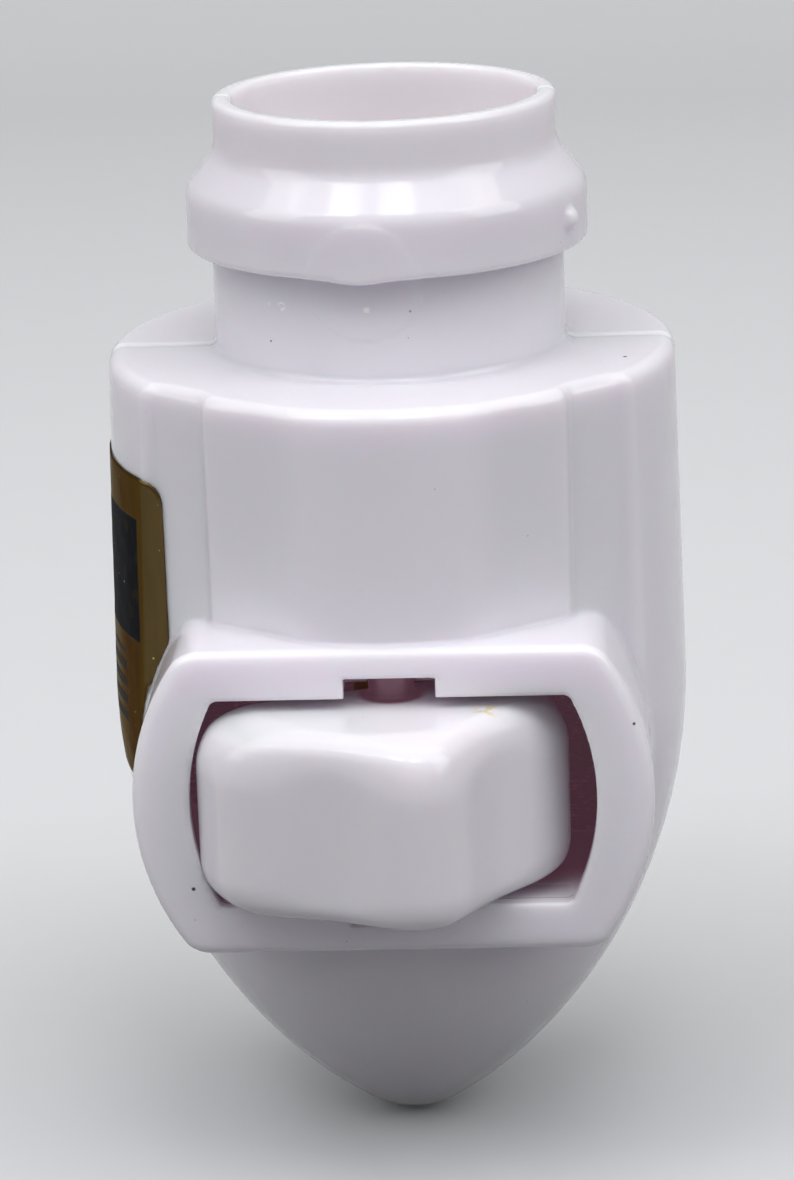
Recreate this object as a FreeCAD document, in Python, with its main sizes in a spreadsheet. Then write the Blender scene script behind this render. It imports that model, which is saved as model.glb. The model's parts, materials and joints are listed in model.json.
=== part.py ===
import FreeCAD, Part
import math
import os
import Sketcher

# Plug-in night light base with a rocker switch and a small screw lamp socket.
# Row frame: origin on the wall face midway between the blades, +Z up, front towards -Y.
# The pieces are drawn about the collar's axis, with z = 0 on top of the shoulder and
# y = 0 on the seam between the shells, and publish() moves them to the row frame.

SIZES = {
    "back_depth": 15.0,
    "shoulder_height": 19.0,
    "shoulder_radius": 17.8,
    "waist_radius": 18.3,
    "waist_drop": 22.0,
    "hull_arc": 36.0,
    "tip_drop": 52.2,
    "wall": 2.2,
    "back_wall": 1.8,
    "collar_bore": 9.5,
    "neck_radius": 11.0,
    "bead_radius": 12.5,
    "bead_bottom": 6.5,
    "bead_top": 10.1,
    "cone_top": 12.5,
    "lip_radius": 10.65,
    "lip_top": 15.7,
    "panel_radius": 17.2,
    "panel_half": 11.0,
    "flank_near_x": 11.15,
    "flank_near_y": 12.45,
    "flank_far_x": 14.4,
    "flank_far_y": 9.8,
    "bezel_front": 19.0,
    "bezel_drop": 24.2,
    "bezel_radius": 15.8,
    "bezel_half": 9.7,
    "bezel_back": 6.5,
    "bezel_face": 1.2,
    "bezel_wall": 1.8,
    "bearing_skin": 1.2,
    "opening_radius": 12.3,
    "opening_half": 6.65,
    "notch_half": 2.75,
    "notch_deep": 1.25,
    "notch_run": 1.65,
    "pivot_depth": 3.25,
    "trunnion_radius": 1.4,
    "trunnion_half": 8.0,
    "run_gap": 0.05,
    "snap_slot": 2.2,
    "rocker_swing": 19.5,
    "rocker_sweep": 11.4,
    "rocker_half": 6.35,
    "button_left": 0.42,
    "button_deep": 0.15,
    "rocker_corner": 3.4,
    "ridge_height": 11.5,
    "ridge_round": 2.2,
    "rocker_edge": 5.0,
    "rocker_skirt": 1.6,
    "spring_seat": 6.0,
    "stem_radius": 2.9,
    "stem_reach": 3.2,
    "plunger_radius": 1.7,
    "plunger_reach": 6.5,
    "plunger_tip": 1.2,
    "plunger_back": 1.0,
    "seesaw_drop": 7.8,
    "seesaw_swing": 7.8,
    "seesaw_arm": 7.4,
    "arm_thick": 0.6,
    "trough_radius": 3.335,
    "trough_floor": -1.24,
    "terminal_thick": 0.5,
    "fixed_head": 0.85,
    "moving_head": 0.6,
    "seesaw_half": 2.4,
    "ear_gap": 0.3,
    "base_thick": 3.0,
    "base_radius": 14.3,
    "base_half": 7.0,
    "contact_x": 6.0,
    "pin_radius": 0.5,
    "pin_head": 0.25,
    "blade_spacing": 12.7,
    "blade_thick": 1.5,
    "blade_out": 16.5,
    "blade_wide": 7.94,
    "blade_narrow": 6.35,
    "blade_hole": 1.6,
    "blade_hole_out": 11.7,
    "blade_ear": 1.9,
    "tail_half": 2.2,
    "tail_end": 6.5,
    "lamp_thread": 5.95,
    "lamp_sheet": 0.35,
    "lamp_top": 9.0,
    "lamp_floor": 6.0,
    "lamp_neck": 1.3,
    "lamp_neck_radius": 5.35,
    "insulator_thick": 1.0,
    "tongue_rise": 2.9,
    "holder_radius": 9.3,
    "holder_flange": 2.7,
    "flange_thick": 1.4,
    "screw_drop": 34.5,
    "screw_radius": 1.3,
    "screw_head": 2.4,
    "seat_depth": 3.0,
    "boss_radius": 2.5,
    "boss_reach": 14.0,
    "boss_back": 13.4,
    "rivet_radius": 0.75,
    "contact_radius": 0.9,
    "contact_shank": 0.45,
    "lead_radius": 0.7,
    "label_top": 6.0,
    "label_bottom": 27.0,
    "label_front": 35.0,
    "label_back": 28.0,
    "label_thick": 0.1,
}


class Dim:
    """A size that knows its value and its formula in the sheet."""

    def __init__(self, value, text):
        self.value = value
        self.text = text

    def join(self, other, sign, value):
        return Dim(value, "(" + self.text + " " + sign + " " + other.text + ")")

    def __add__(self, other):
        other = as_dim(other)
        return self.join(other, "+", self.value + other.value)

    def __radd__(self, other):
        return as_dim(other) + self

    def __sub__(self, other):
        other = as_dim(other)
        return self.join(other, "-", self.value - other.value)

    def __rsub__(self, other):
        return as_dim(other) - self

    def __mul__(self, other):
        other = as_dim(other)
        return self.join(other, "*", self.value * other.value)

    def __rmul__(self, other):
        return as_dim(other) * self

    def __truediv__(self, other):
        other = as_dim(other)
        return self.join(other, "/", self.value / other.value)

    def __neg__(self):
        return Dim(-self.value, "(-" + self.text + ")")

    def root(self):
        return Dim(self.value**0.5, "sqrt(" + self.text + ")")


def as_dim(number):
    return number if isinstance(number, Dim) else Dim(float(number), "(" + repr(number) + ")")


class Sheet:
    """The spreadsheet of driving sizes, each read as an attribute."""

    def __init__(self, doc, sizes):
        self.cells = doc.addObject("Spreadsheet::Sheet", "Sizes")
        for row, (alias, value) in enumerate(sizes.items(), start=1):
            self.cells.set("A" + str(row), alias)
            self.cells.set("B" + str(row), str(value))
            self.cells.setAlias("B" + str(row), alias)
            setattr(self, alias, Dim(value, "Sizes." + alias))
        doc.recompute()


doc = FreeCAD.newDocument("NightLight")
size = Sheet(doc, SIZES)
published = []

FRONT = FreeCAD.Rotation(FreeCAD.Vector(1, 0, 0), 90)
FLAT = FreeCAD.Rotation()
ALONG_Y = FreeCAD.Rotation(FreeCAD.Vector(1, 0, 0), -90)


def bind(thing, path, number):
    number = as_dim(number)
    thing.setExpression(path, number.text)


def place(thing, x=0, y=0, z=0, rotation=FLAT):
    thing.Placement = FreeCAD.Placement(FreeCAD.Vector(0, 0, 0), rotation)
    bind(thing, "Placement.Base.x", x)
    bind(thing, "Placement.Base.y", y)
    bind(thing, "Placement.Base.z", z)


def publish(thing, label, x=0, y=0, z=0, turn=0):
    """Names a finished piece and stands it in the row frame, turned about its own Z axis."""
    thing.Label = label
    turn = as_dim(turn)
    rotation = FreeCAD.Rotation(FreeCAD.Vector(0, 0, 1), turn.value)
    place(thing, x, y - size.back_depth, z + size.shoulder_height, rotation)
    if turn.value:
        bind(thing, "Placement.Rotation.Angle", turn)
    published.append(thing)


def box(x0, x1, y0, y1, z0, z1):
    made = doc.addObject("Part::Box", "Block")
    place(made, x0, y0, z0)
    bind(made, "Length", as_dim(x1) - x0)
    bind(made, "Width", as_dim(y1) - y0)
    bind(made, "Height", as_dim(z1) - z0)
    return made


def rod(radius, length, x=0, y=0, z=0, rotation=FLAT):
    made = doc.addObject("Part::Cylinder", "Rod")
    place(made, x, y, z, rotation)
    bind(made, "Radius", radius)
    bind(made, "Height", length)
    return made


def ball(radius, x=0, y=0, z=0):
    made = doc.addObject("Part::Sphere", "Ball")
    place(made, x, y, z)
    bind(made, "Radius", radius)
    return made


def fuse(*things):
    made = doc.addObject("Part::MultiFuse", "Joined")
    made.Shapes = list(things)
    return made


def cut(base, *tools):
    made = doc.addObject("Part::Cut", "Trimmed")
    made.Base = base
    made.Tool = tools[0] if len(tools) == 1 else fuse(*tools)
    return made


def common(one, other):
    made = doc.addObject("Part::Common", "Shared")
    made.Base = one
    made.Tool = other
    return made


def arc_between(start, end, radius, left):
    """A circular arc in the sketch plane; left says on which side of the chord its centre lies."""
    a = FreeCAD.Vector(start[0].value, start[1].value, 0)
    b = FreeCAD.Vector(end[0].value, end[1].value, 0)
    chord = b - a
    side = FreeCAD.Vector(-chord.y, chord.x, 0)
    side.normalize()
    rise = (max(radius.value**2 - (chord.Length / 2) ** 2, 0)) ** 0.5
    centre = (a + b) * 0.5 + side * (rise if left else -rise)
    middle = centre + side * (-radius.value if left else radius.value)
    return Part.Arc(a, middle, b)


def draw(sketch, corners):
    """A closed outline. A corner is (x, y), or (x, y, radius, left) when an arc leaves it."""
    points = [(as_dim(c[0]), as_dim(c[1])) for c in corners]
    edges = []
    for number, corner in enumerate(corners):
        start = points[number]
        end = points[(number + 1) % len(points)]
        if len(corner) == 4:
            curve = arc_between(start, end, as_dim(corner[2]), corner[3])
        else:
            ends = [FreeCAD.Vector(p[0].value, p[1].value, 0) for p in (start, end)]
            curve = Part.LineSegment(*ends)
        edges.append(sketch.addGeometry(curve, False))
    starts = [start_end(sketch, edge, points[number]) for number, edge in enumerate(edges)]
    for number, edge in enumerate(edges):
        before = edges[number - 1]
        far_end = 3 - starts[number - 1]
        sketch.addConstraint(Sketcher.Constraint("Coincident", before, far_end, edge, starts[number]))
        for axis, kind, line in ((0, "DistanceX", -2), (1, "DistanceY", -1)):
            where = points[number][axis]
            if where.text == "(0)":
                pinned = Sketcher.Constraint("PointOnObject", edge, starts[number], line)
                sketch.addConstraint(pinned)
            else:
                held = Sketcher.Constraint(kind, -1, 1, edge, starts[number], where.value)
                index = sketch.addConstraint(held)
                bind(sketch, "Constraints[%d]" % index, where)
        if len(corners[number]) == 4:
            radius = as_dim(corners[number][2])
            index = sketch.addConstraint(Sketcher.Constraint("Radius", edge, radius.value))
            bind(sketch, "Constraints[%d]" % index, radius)


def start_end(sketch, edge, point):
    """Which end of a drawn edge lies on the corner it starts from: 1 or 2."""
    near = sketch.getPoint(edge, 1)
    here = FreeCAD.Vector(point[0].value, point[1].value, 0)
    return 1 if near.distanceToPoint(here) < 1e-6 else 2


def flat_sketch(corners, rotation, x=0, y=0, z=0):
    sketch = doc.addObject("Sketcher::SketchObject", "Outline")
    place(sketch, x, y, z, rotation)
    draw(sketch, corners)
    return sketch


def prism(corners, rotation, length, x=0, y=0, z=0):
    """An outline pushed along its sketch's own normal."""
    made = doc.addObject("Part::Extrusion", "Prism")
    made.Base = flat_sketch(corners, rotation, x, y, z)
    made.DirMode = "Normal"
    made.Solid = True
    bind(made, "LengthFwd", length)
    return made


def turned(corners, degrees, forward):
    """A half profile in the XZ plane turned about the collar's axis."""
    made = doc.addObject("Part::Revolution", "Turned")
    made.Source = flat_sketch(corners, FRONT)
    made.Axis = FreeCAD.Vector(0, 0, -1 if forward else 1)
    made.Solid = True
    bind(made, "Angle", degrees)
    return made


def new_body(name):
    return doc.addObject("PartDesign::Body", name)


def body_sketch(body, role, corners, offset=0):
    planes = {plane.Role: plane for plane in body.Origin.OriginFeatures}
    sketch = body.newObject("Sketcher::SketchObject", "Profile")
    sketch.AttachmentSupport = [(planes[role], "")]
    sketch.MapMode = "FlatFace"
    bind(sketch, "AttachmentOffset.Base.z", offset)
    draw(sketch, corners)
    return sketch


def pad(body, sketch, length, both_sides=False):
    made = body.newObject("PartDesign::Pad", "Pad")
    made.Profile = sketch
    made.Midplane = both_sides
    bind(made, "Length", length)
    return made


def drill(body, role, reach, radius):
    """A round hole through the body, square to the named plane, centred reach along the sketch's X."""
    planes = {plane.Role: plane for plane in body.Origin.OriginFeatures}
    circle = body.newObject("Sketcher::SketchObject", "HoleCircle")
    circle.AttachmentSupport = [(planes[role], "")]
    circle.MapMode = "FlatFace"
    reach = as_dim(reach)
    centre = FreeCAD.Vector(reach.value, 0, 0)
    circle.addGeometry(Part.Circle(centre, FreeCAD.Vector(0, 0, 1), radius.value), False)
    circle.addConstraint(Sketcher.Constraint("PointOnObject", 0, 3, -1))
    if reach.value:
        held = circle.addConstraint(Sketcher.Constraint("DistanceX", -1, 1, 0, 3, reach.value))
        bind(circle, "Constraints[%d]" % held, reach)
    else:
        circle.addConstraint(Sketcher.Constraint("PointOnObject", 0, 3, -2))
    held = circle.addConstraint(Sketcher.Constraint("Radius", 0, radius.value))
    bind(circle, "Constraints[%d]" % held, radius)
    doc.recompute()
    hole = body.newObject("PartDesign::Pocket", "Hole")
    hole.Profile = circle
    hole.Type = 1
    hole.Midplane = True


def revolve(body, sketch):
    made = body.newObject("PartDesign::Revolution", "Revolution")
    made.Profile = sketch
    made.ReferenceAxis = (sketch, ["V_Axis"])
    made.Angle = 360
    return made


# The two shells

hull_rise = size.tip_drop - size.waist_drop


def hull_points(inset):
    """The outer line of the body below the shoulder, moved inwards by inset."""
    side = size.hull_arc - size.waist_radius
    far = size.hull_arc - inset
    tip = (size.hull_arc * size.hull_arc - side * side - hull_rise * hull_rise) / (
        (size.hull_arc - hull_rise) * 2
    )
    lift = hull_rise - tip
    reach = (side * side + lift * lift).root()
    return [
        (size.waist_radius - inset, -size.waist_drop, far, False),
        (side * far / reach - side, -size.waist_drop - lift * far / reach, tip - inset, False),
        (0, inset - size.tip_drop),
    ]


outer_line = [
    (0, size.lip_top),
    (size.lip_radius, size.lip_top),
    (size.lip_radius, size.cone_top),
    (size.bead_radius, size.bead_top),
    (size.bead_radius, size.bead_bottom),
    (size.neck_radius, size.bead_bottom),
    (size.neck_radius, 0),
    (size.shoulder_radius, 0),
] + hull_points(as_dim(0))

inner_line = [
    (0, size.lip_top + 1),
    (size.collar_bore, size.lip_top + 1),
    (size.collar_bore, -size.wall),
    (size.shoulder_radius - size.wall, -size.wall),
] + hull_points(size.wall)


def truncated_disc(radius, half):
    """A disc cut off flat above and below, seen from the front, about the switch's centre."""
    radius = as_dim(radius)
    half = as_dim(half)
    reach = (radius * radius - half * half).root()
    top = half - size.bezel_drop
    bottom = -half - size.bezel_drop
    return [(-reach, bottom), (reach, bottom, radius, True), (reach, top), (-reach, top, radius, True)]


def opening_outline():
    reach = (size.opening_radius * size.opening_radius - size.opening_half * size.opening_half).root()
    top = size.opening_half - size.bezel_drop
    bottom = -size.opening_half - size.bezel_drop
    notch = size.notch_half
    deep = size.notch_deep
    return [
        (-reach, bottom),
        (-notch, bottom),
        (-notch, bottom - deep),
        (notch, bottom - deep),
        (notch, bottom),
        (reach, bottom, size.opening_radius, True),
        (reach, top),
        (notch, top),
        (notch, top + deep),
        (-notch, top + deep),
        (-notch, top),
        (-reach, top, size.opening_radius, True),
    ]


panel_edge = (size.panel_radius * size.panel_radius - size.panel_half * size.panel_half).root()
plan = [
    (size.panel_half, -panel_edge),
    (size.flank_near_x, -size.flank_near_y),
    (size.flank_far_x, -size.flank_far_y),
    (size.waist_radius + 2, -size.flank_far_y),
    (size.waist_radius + 2, 0),
    (-size.waist_radius - 2, 0),
    (-size.waist_radius - 2, -size.flank_far_y),
    (-size.flank_far_x, -size.flank_far_y),
    (-size.flank_near_x, -size.flank_near_y),
    (-size.panel_half, -panel_edge, size.panel_radius, True),
]
pivot_y = size.pivot_depth - size.bezel_front
mid_z = -size.bezel_drop
blade_z = -size.shoulder_height
HALF_ROOT = 0.5**0.5
PEG_PLACES = [(side, drop) for side in (-1, 1) for drop in (5.0, 20.0)]
PEG_RADIUS = 0.6
PEG_LENGTH = 1.6
PEG_ROOT = 0.5
SLIP = 0.1
PAST = 1.0


def pegs(radius, length):
    """Locating pegs halfway through the side walls, on the seam."""
    inside = size.shoulder_radius - size.wall / 2
    return [
        rod(radius, length, x=inside * side, y=-PEG_ROOT, z=-drop, rotation=ALONG_Y)
        for side, drop in PEG_PLACES
    ]


def make_front_shell():
    blank = common(
        turned(outer_line, 180, True),
        prism(plan, FLAT, size.tip_drop + size.lip_top + PAST * 2, z=-size.tip_drop - PAST),
    )
    bezel_outline = truncated_disc(size.bezel_radius, size.bezel_half)
    bezel_length = size.bezel_front - size.bezel_back
    bezel = prism(bezel_outline, FRONT, bezel_length, y=-size.bezel_back)
    hollow = cut(fuse(blank, bezel), turned(inner_line, 180, True))
    tube = prism(bezel_outline, FRONT, bezel_length - size.bezel_face, y=-size.bezel_back)
    well = prism(
        truncated_disc(size.bezel_radius - size.bezel_wall, size.opening_half),
        FRONT,
        size.bezel_front - size.bezel_face,
    )
    boss = rod(size.boss_radius, size.boss_reach, y=-size.boss_reach, z=-size.screw_drop, rotation=ALONG_Y)
    opening = prism(
        opening_outline(), FRONT, size.notch_run + PAST, y=size.notch_run - size.bezel_front
    )
    bearing_half = size.bezel_half - size.bearing_skin
    bearing = rod(
        size.trunnion_radius + size.run_gap, bearing_half * 2, y=pivot_y, z=mid_z - bearing_half
    )
    slot_half = size.opening_half + size.notch_deep
    slot = box(
        -size.snap_slot / 2,
        size.snap_slot / 2,
        size.notch_run - size.bezel_front - SLIP,
        pivot_y,
        mid_z - slot_half,
        mid_z + slot_half,
    )
    hole_depth = 11.0
    screw_hole = rod(size.screw_radius, hole_depth, y=-hole_depth, z=-size.screw_drop, rotation=ALONG_Y)
    solid = fuse(cut(fuse(hollow, tube), well), boss)
    solid = cut(solid, opening, bearing, slot, screw_hole)
    publish(fuse(solid, *pegs(PEG_RADIUS, PEG_LENGTH)), "front_shell")


def make_rear_shell():
    reach = size.waist_radius + PAST
    low = -size.tip_drop - PAST
    high = size.lip_top + PAST
    blank = common(turned(outer_line, 180, False), box(-reach, reach, 0, size.back_depth, low, high))
    inside = common(
        turned(inner_line, 180, False),
        box(-reach, reach, -PAST, size.back_depth - size.back_wall, low, high),
    )
    boss_start = 1.0
    boss_wall = 0.9
    screw_room = 0.2
    boss = rod(
        size.boss_radius + boss_wall,
        size.boss_back - boss_start,
        y=boss_start,
        z=-size.screw_drop,
        rotation=ALONG_Y,
    )
    clear_hole = rod(size.screw_radius + screw_room, size.back_depth, z=-size.screw_drop, rotation=ALONG_Y)
    head_seat = rod(
        size.screw_head + screw_room,
        size.seat_depth + PAST,
        y=size.back_depth - size.seat_depth,
        z=-size.screw_drop,
        rotation=ALONG_Y,
    )
    slots = []
    for side, width in ((-1, size.blade_wide), (1, size.blade_narrow)):
        middle = size.blade_spacing / 2 * side
        half = size.blade_thick / 2 + SLIP
        rise = width / 2 + SLIP
        front = size.back_depth - size.back_wall - PAST
        back = size.back_depth + PAST
        slots.append(box(middle - half, middle + half, front, back, blade_z - rise, blade_z + rise))
    sockets = pegs(PEG_RADIUS + SLIP, PEG_LENGTH + SLIP)
    solid = fuse(cut(blank, inside), boss)
    publish(cut(solid, clear_hole, head_seat, *slots, *sockets), "rear_shell")


# The rocker switch, drawn about its own upright pivot with z = 0 at the switch's centre

def make_rocker():
    ridge_x = size.ridge_round * HALF_ROOT
    ridge_y = size.ridge_round - size.ridge_height - ridge_x
    sweep = size.rocker_sweep
    edge_x = (sweep * sweep - size.rocker_edge * size.rocker_edge).root()
    skirt_x = (sweep * sweep - size.rocker_skirt * size.rocker_skirt).root()
    run = edge_x - ridge_x
    fall = -size.rocker_edge - ridge_y
    facet = (run * run + fall * fall) / ((run - fall) * 2 * HALF_ROOT)
    outline = [
        (-ridge_x, ridge_y, size.ridge_round, True),
        (ridge_x, ridge_y, facet, False),
        (edge_x, -size.rocker_edge, sweep, True),
        (skirt_x, size.rocker_skirt),
        (-skirt_x, size.rocker_skirt, sweep, True),
        (-edge_x, -size.rocker_edge, facet, False),
    ]
    half = size.rocker_half
    grow = 0.001
    # The button sits a little to the left of its pivot.
    left, deep = -size.button_left, size.button_deep
    roof = prism(outline, FLAT, half * 2, left, deep, -half)
    drum = rod(sweep + grow, half * 2, left, deep, -half)
    doc.recompute()
    rounded = doc.addObject("Part::Fillet", "RoundDrum")
    rounded.Base = drum
    corner = size.rocker_corner.value
    rounded.Edges = [(number, corner, corner) for number in ring_edges(drum.Shape)]
    shape = common(roof, rounded)
    stem = rod(size.stem_radius, size.stem_reach, rotation=ALONG_Y)
    trunnion = rod(size.trunnion_radius, size.trunnion_half * 2, z=-size.trunnion_half)
    bore_depth = size.spring_seat
    bore = rod(
        size.plunger_radius + SLIP,
        bore_depth + size.stem_reach + PAST,
        y=-bore_depth,
        rotation=ALONG_Y,
    )
    inner_x = 3.3
    outer_x = 9.3
    outer_face = (8.9, -3.2)
    inner_face = (inner_x, -7.0)
    back = size.rocker_skirt + SLIP
    hollow_half = half - 1.4
    hollows = []
    for side in (-1, 1):
        walls = [
            (side * inner_x, back),
            (side * outer_x, back),
            (side * outer_face[0], outer_face[1]),
            (side * inner_face[0], inner_face[1]),
        ]
        hollows.append(prism(walls, FLAT, hollow_half * 2, z=-hollow_half))
    solid = cut(fuse(shape, stem, trunnion), bore, *hollows)
    publish(solid, "rocker", 0, pivot_y, mid_z, size.rocker_swing)


def ring_edges(shape):
    closed = enumerate(shape.Edges, start=1)
    return [number for number, edge in closed if edge.isClosed() and edge.Curve.TypeId == "Part::GeomCircle"]


def make_plunger():
    tip = size.plunger_reach - size.plunger_tip
    guide = 4.0
    back = rod(size.plunger_radius, guide, y=-size.plunger_back, rotation=ALONG_Y)
    nose = rod(size.plunger_tip, tip, rotation=ALONG_Y)
    publish(fuse(back, nose, ball(size.plunger_tip, y=tip)), "plunger", 0, pivot_y, mid_z, size.rocker_swing)


def make_spring():
    """A compression spring between the rocker's blind bore and the plunger's back."""
    coil_radius = 1.2
    wire = 0.2
    turns = 6
    run = 4.5
    front = -size.plunger_back.value - wire - run
    helix = Part.makeLongHelix(run / turns, run, coil_radius)
    helix.Placement = FreeCAD.Placement(FreeCAD.Vector(0, front, 0), ALONG_Y)
    start = helix.Vertexes[0].Point
    ring = Part.Wire(Part.Circle(start, FreeCAD.Vector(0, 0, 1), wire).toShape())
    coil = Part.Wire(helix.Edges).makePipeShell([ring], True, True)
    spring = doc.addObject("Part::Feature", "Coil")
    spring.Shape = coil
    publish(spring, "plunger_spring", 0, pivot_y, mid_z, size.rocker_swing)


# The seesaw contact, drawn about its own upright pin

seesaw_y = pivot_y + size.seesaw_drop
TAIL_HALF = 0.75
TAIL_RISE = 0.8
TAIL_END = -1.5


def make_seesaw():
    arm = size.seesaw_arm
    trough = 2.3
    depth = size.trough_floor - size.trough_radius
    face = depth + (size.trough_radius * size.trough_radius - trough * trough).root()
    back = face + size.arm_thick
    root = 1.6
    neck = 0.9
    knuckle_radius = 0.85
    outline = [
        (-arm, face),
        (-trough, face, size.trough_radius, False),
        (trough, face),
        (arm, face),
        (arm, back),
        (root, back),
        (neck, 0),
        (-neck, 0),
        (-root, back),
        (-arm, back),
    ]
    half = size.seesaw_half
    plate = prism(outline, FLAT, half * 2, z=-half)
    knuckle = rod(knuckle_radius, half * 2, z=-half)
    pin_bore = rod(size.pin_radius + size.run_gap, half * 2 + PAST * 2, z=-half - PAST)
    rivet_hole = rod(size.contact_shank, size.seesaw_arm, x=size.contact_x, y=-arm, rotation=ALONG_Y)
    solid = cut(fuse(plate, knuckle), pin_bore, rivet_hole)
    publish(solid, "seesaw_contact", 0, seesaw_y, mid_z, -size.seesaw_swing)
    head = rod(size.contact_radius, size.moving_head, x=size.contact_x, y=back, rotation=ALONG_Y)
    shank = rod(size.contact_shank, size.arm_thick, x=size.contact_x, y=face, rotation=ALONG_Y)
    publish(fuse(head, shank), "moving_contact_rivet", 0, seesaw_y, mid_z, -size.seesaw_swing)


def stand_on_base(x, plate_half, plate_rise):
    """A stamped plate on the front of the base with a tail through it."""
    front = -size.bezel_back - size.terminal_thick
    plate = box(
        x - plate_half, x + plate_half, front, -size.bezel_back, mid_z - plate_rise, mid_z + plate_rise
    )
    tail = box(
        x - TAIL_HALF, x + TAIL_HALF, -size.bezel_back, TAIL_END, mid_z - TAIL_RISE, mid_z + TAIL_RISE
    )
    return [plate, tail]


def make_switch_metal():
    plate_y = -size.bezel_back - size.terminal_thick
    ear_half = 1.2
    ear_front = seesaw_y - 1.1
    ear_low = size.seesaw_half + size.ear_gap
    ear_high = ear_low + size.terminal_thick
    ears = [
        box(-ear_half, ear_half, ear_front, plate_y, mid_z + low, mid_z + low + size.terminal_thick)
        for low in (ear_low, -ear_high)
    ]
    pin_half = ear_high + 0.4
    pin_room = rod(size.pin_radius, (pin_half + PAST) * 2, y=seesaw_y, z=mid_z - pin_half - PAST)
    publish(cut(fuse(*stand_on_base(as_dim(0), 2.8, 4.2), *ears), pin_room), "cradle_terminal")
    pin = rod(size.pin_radius, pin_half * 2, y=seesaw_y, z=mid_z - pin_half)
    pin_head = rod(
        size.pin_radius + size.pin_head, size.pin_head, y=seesaw_y, z=mid_z + ear_high + size.run_gap
    )
    publish(fuse(pin, pin_head), "seesaw_pin")
    across = size.contact_x
    rivet_hole = rod(
        size.contact_shank, size.terminal_thick, x=across, y=plate_y, z=mid_z, rotation=ALONG_Y
    )
    publish(cut(fuse(*stand_on_base(across, 1.7, 2.2)), rivet_hole), "load_terminal")
    head = rod(
        size.contact_radius,
        size.fixed_head,
        x=across,
        y=plate_y - size.fixed_head,
        z=mid_z,
        rotation=ALONG_Y,
    )
    shank = rod(size.contact_shank, size.terminal_thick, x=across, y=plate_y, z=mid_z, rotation=ALONG_Y)
    publish(fuse(head, shank), "fixed_contact_rivet")


def make_switch_base():
    back = size.base_thick - size.bezel_back
    block = prism(truncated_disc(size.base_radius, size.base_half), FRONT, size.base_thick, y=back)
    slots = [
        box(
            x - TAIL_HALF - size.run_gap,
            x + TAIL_HALF + size.run_gap,
            -size.bezel_back - PAST,
            0,
            mid_z - TAIL_RISE - size.run_gap,
            mid_z + TAIL_RISE + size.run_gap,
        )
        for x in (as_dim(0), size.contact_x)
    ]
    publish(cut(block, *slots), "switch_base")


# Power parts behind the switch

def make_blade(label, side, width):
    half = width / 2
    tail = size.tail_half
    nose = 1.2
    ear = half + 0.9
    root = size.back_depth - size.back_wall - SLIP
    collar = root - size.blade_ear
    out = size.back_depth + size.blade_out
    profile = [
        (size.tail_end, -tail),
        (collar, -tail),
        (collar, -ear),
        (root, -ear),
        (root, -half),
        (out - nose, -half),
        (out, nose - half),
        (out, half - nose),
        (out - nose, half),
        (root, half),
        (root, ear),
        (collar, ear),
        (collar, tail),
        (size.tail_end, tail),
    ]
    body = new_body("Blade")
    pad(body, body_sketch(body, "YZ_Plane", profile), size.blade_thick, True)
    drill(body, "YZ_Plane", size.back_depth + size.blade_hole_out, size.blade_hole)
    publish(body, label, size.blade_spacing / 2 * side, 0, blade_z)


def make_blade_retainer():
    front = size.tail_end + 2.2
    back = size.back_depth - size.back_wall - SLIP - size.blade_ear - SLIP
    reach = 9.4
    rise = 5.0
    block = box(-reach, reach, front, back, blade_z - rise, blade_z + rise)
    half = size.blade_thick / 2 + SLIP
    slot_rise = size.tail_half + SLIP
    slots = []
    for side in (-1, 1):
        middle = size.blade_spacing / 2 * side
        slots.append(
            box(
                middle - half,
                middle + half,
                front - PAST,
                back + PAST,
                blade_z - slot_rise,
                blade_z + slot_rise,
            )
        )
    publish(cut(block, *slots), "blade_retainer")


def make_case_screw():
    head_y = size.back_depth - size.seat_depth
    head_thick = 1.7
    point = 9.0
    cross_depth = 0.8
    cross_long = 1.5
    cross_wide = 0.25
    z = -size.screw_drop
    head = rod(size.screw_head, head_thick, y=head_y, z=z, rotation=ALONG_Y)
    shank = rod(size.screw_radius, head_y + point, y=-point, z=z, rotation=ALONG_Y)
    cross = [
        box(-across, across, head_y + cross_depth, size.back_depth, z - up, z + up)
        for across, up in ((cross_long, cross_wide), (cross_wide, cross_long))
    ]
    publish(cut(fuse(head, shank), *cross), "case_screw")


# The lamp socket inside the collar

screw_outside = size.lamp_thread + size.lamp_sheet
insulator_top = size.lamp_sheet - size.lamp_floor + size.insulator_thick
rivet_foot = -size.lamp_floor - 1.2


def make_screw_shell():
    """The thread's tube, necked in below the thread, with its floor turned in and its rim turned out."""
    sheet = size.lamp_sheet
    floor = -size.lamp_floor
    neck = size.lamp_neck_radius
    step = size.lamp_thread - neck
    rim = screw_outside + 0.6
    floor_hole = 3.0
    profile = [
        (floor_hole, floor),
        (neck + sheet, floor),
        (neck + sheet, -size.lamp_neck - step),
        (screw_outside, -size.lamp_neck),
        (screw_outside, size.lamp_top - sheet),
        (rim, size.lamp_top - sheet),
        (rim, size.lamp_top),
        (size.lamp_thread, size.lamp_top),
        (size.lamp_thread, -size.lamp_neck),
        (neck, -size.lamp_neck - step),
        (neck, floor + sheet),
        (floor_hole, floor + sheet),
    ]
    body = new_body("ScrewShell")
    revolve(body, body_sketch(body, "XZ_Plane", profile))
    publish(body, "lamp_screw_shell")


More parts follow.
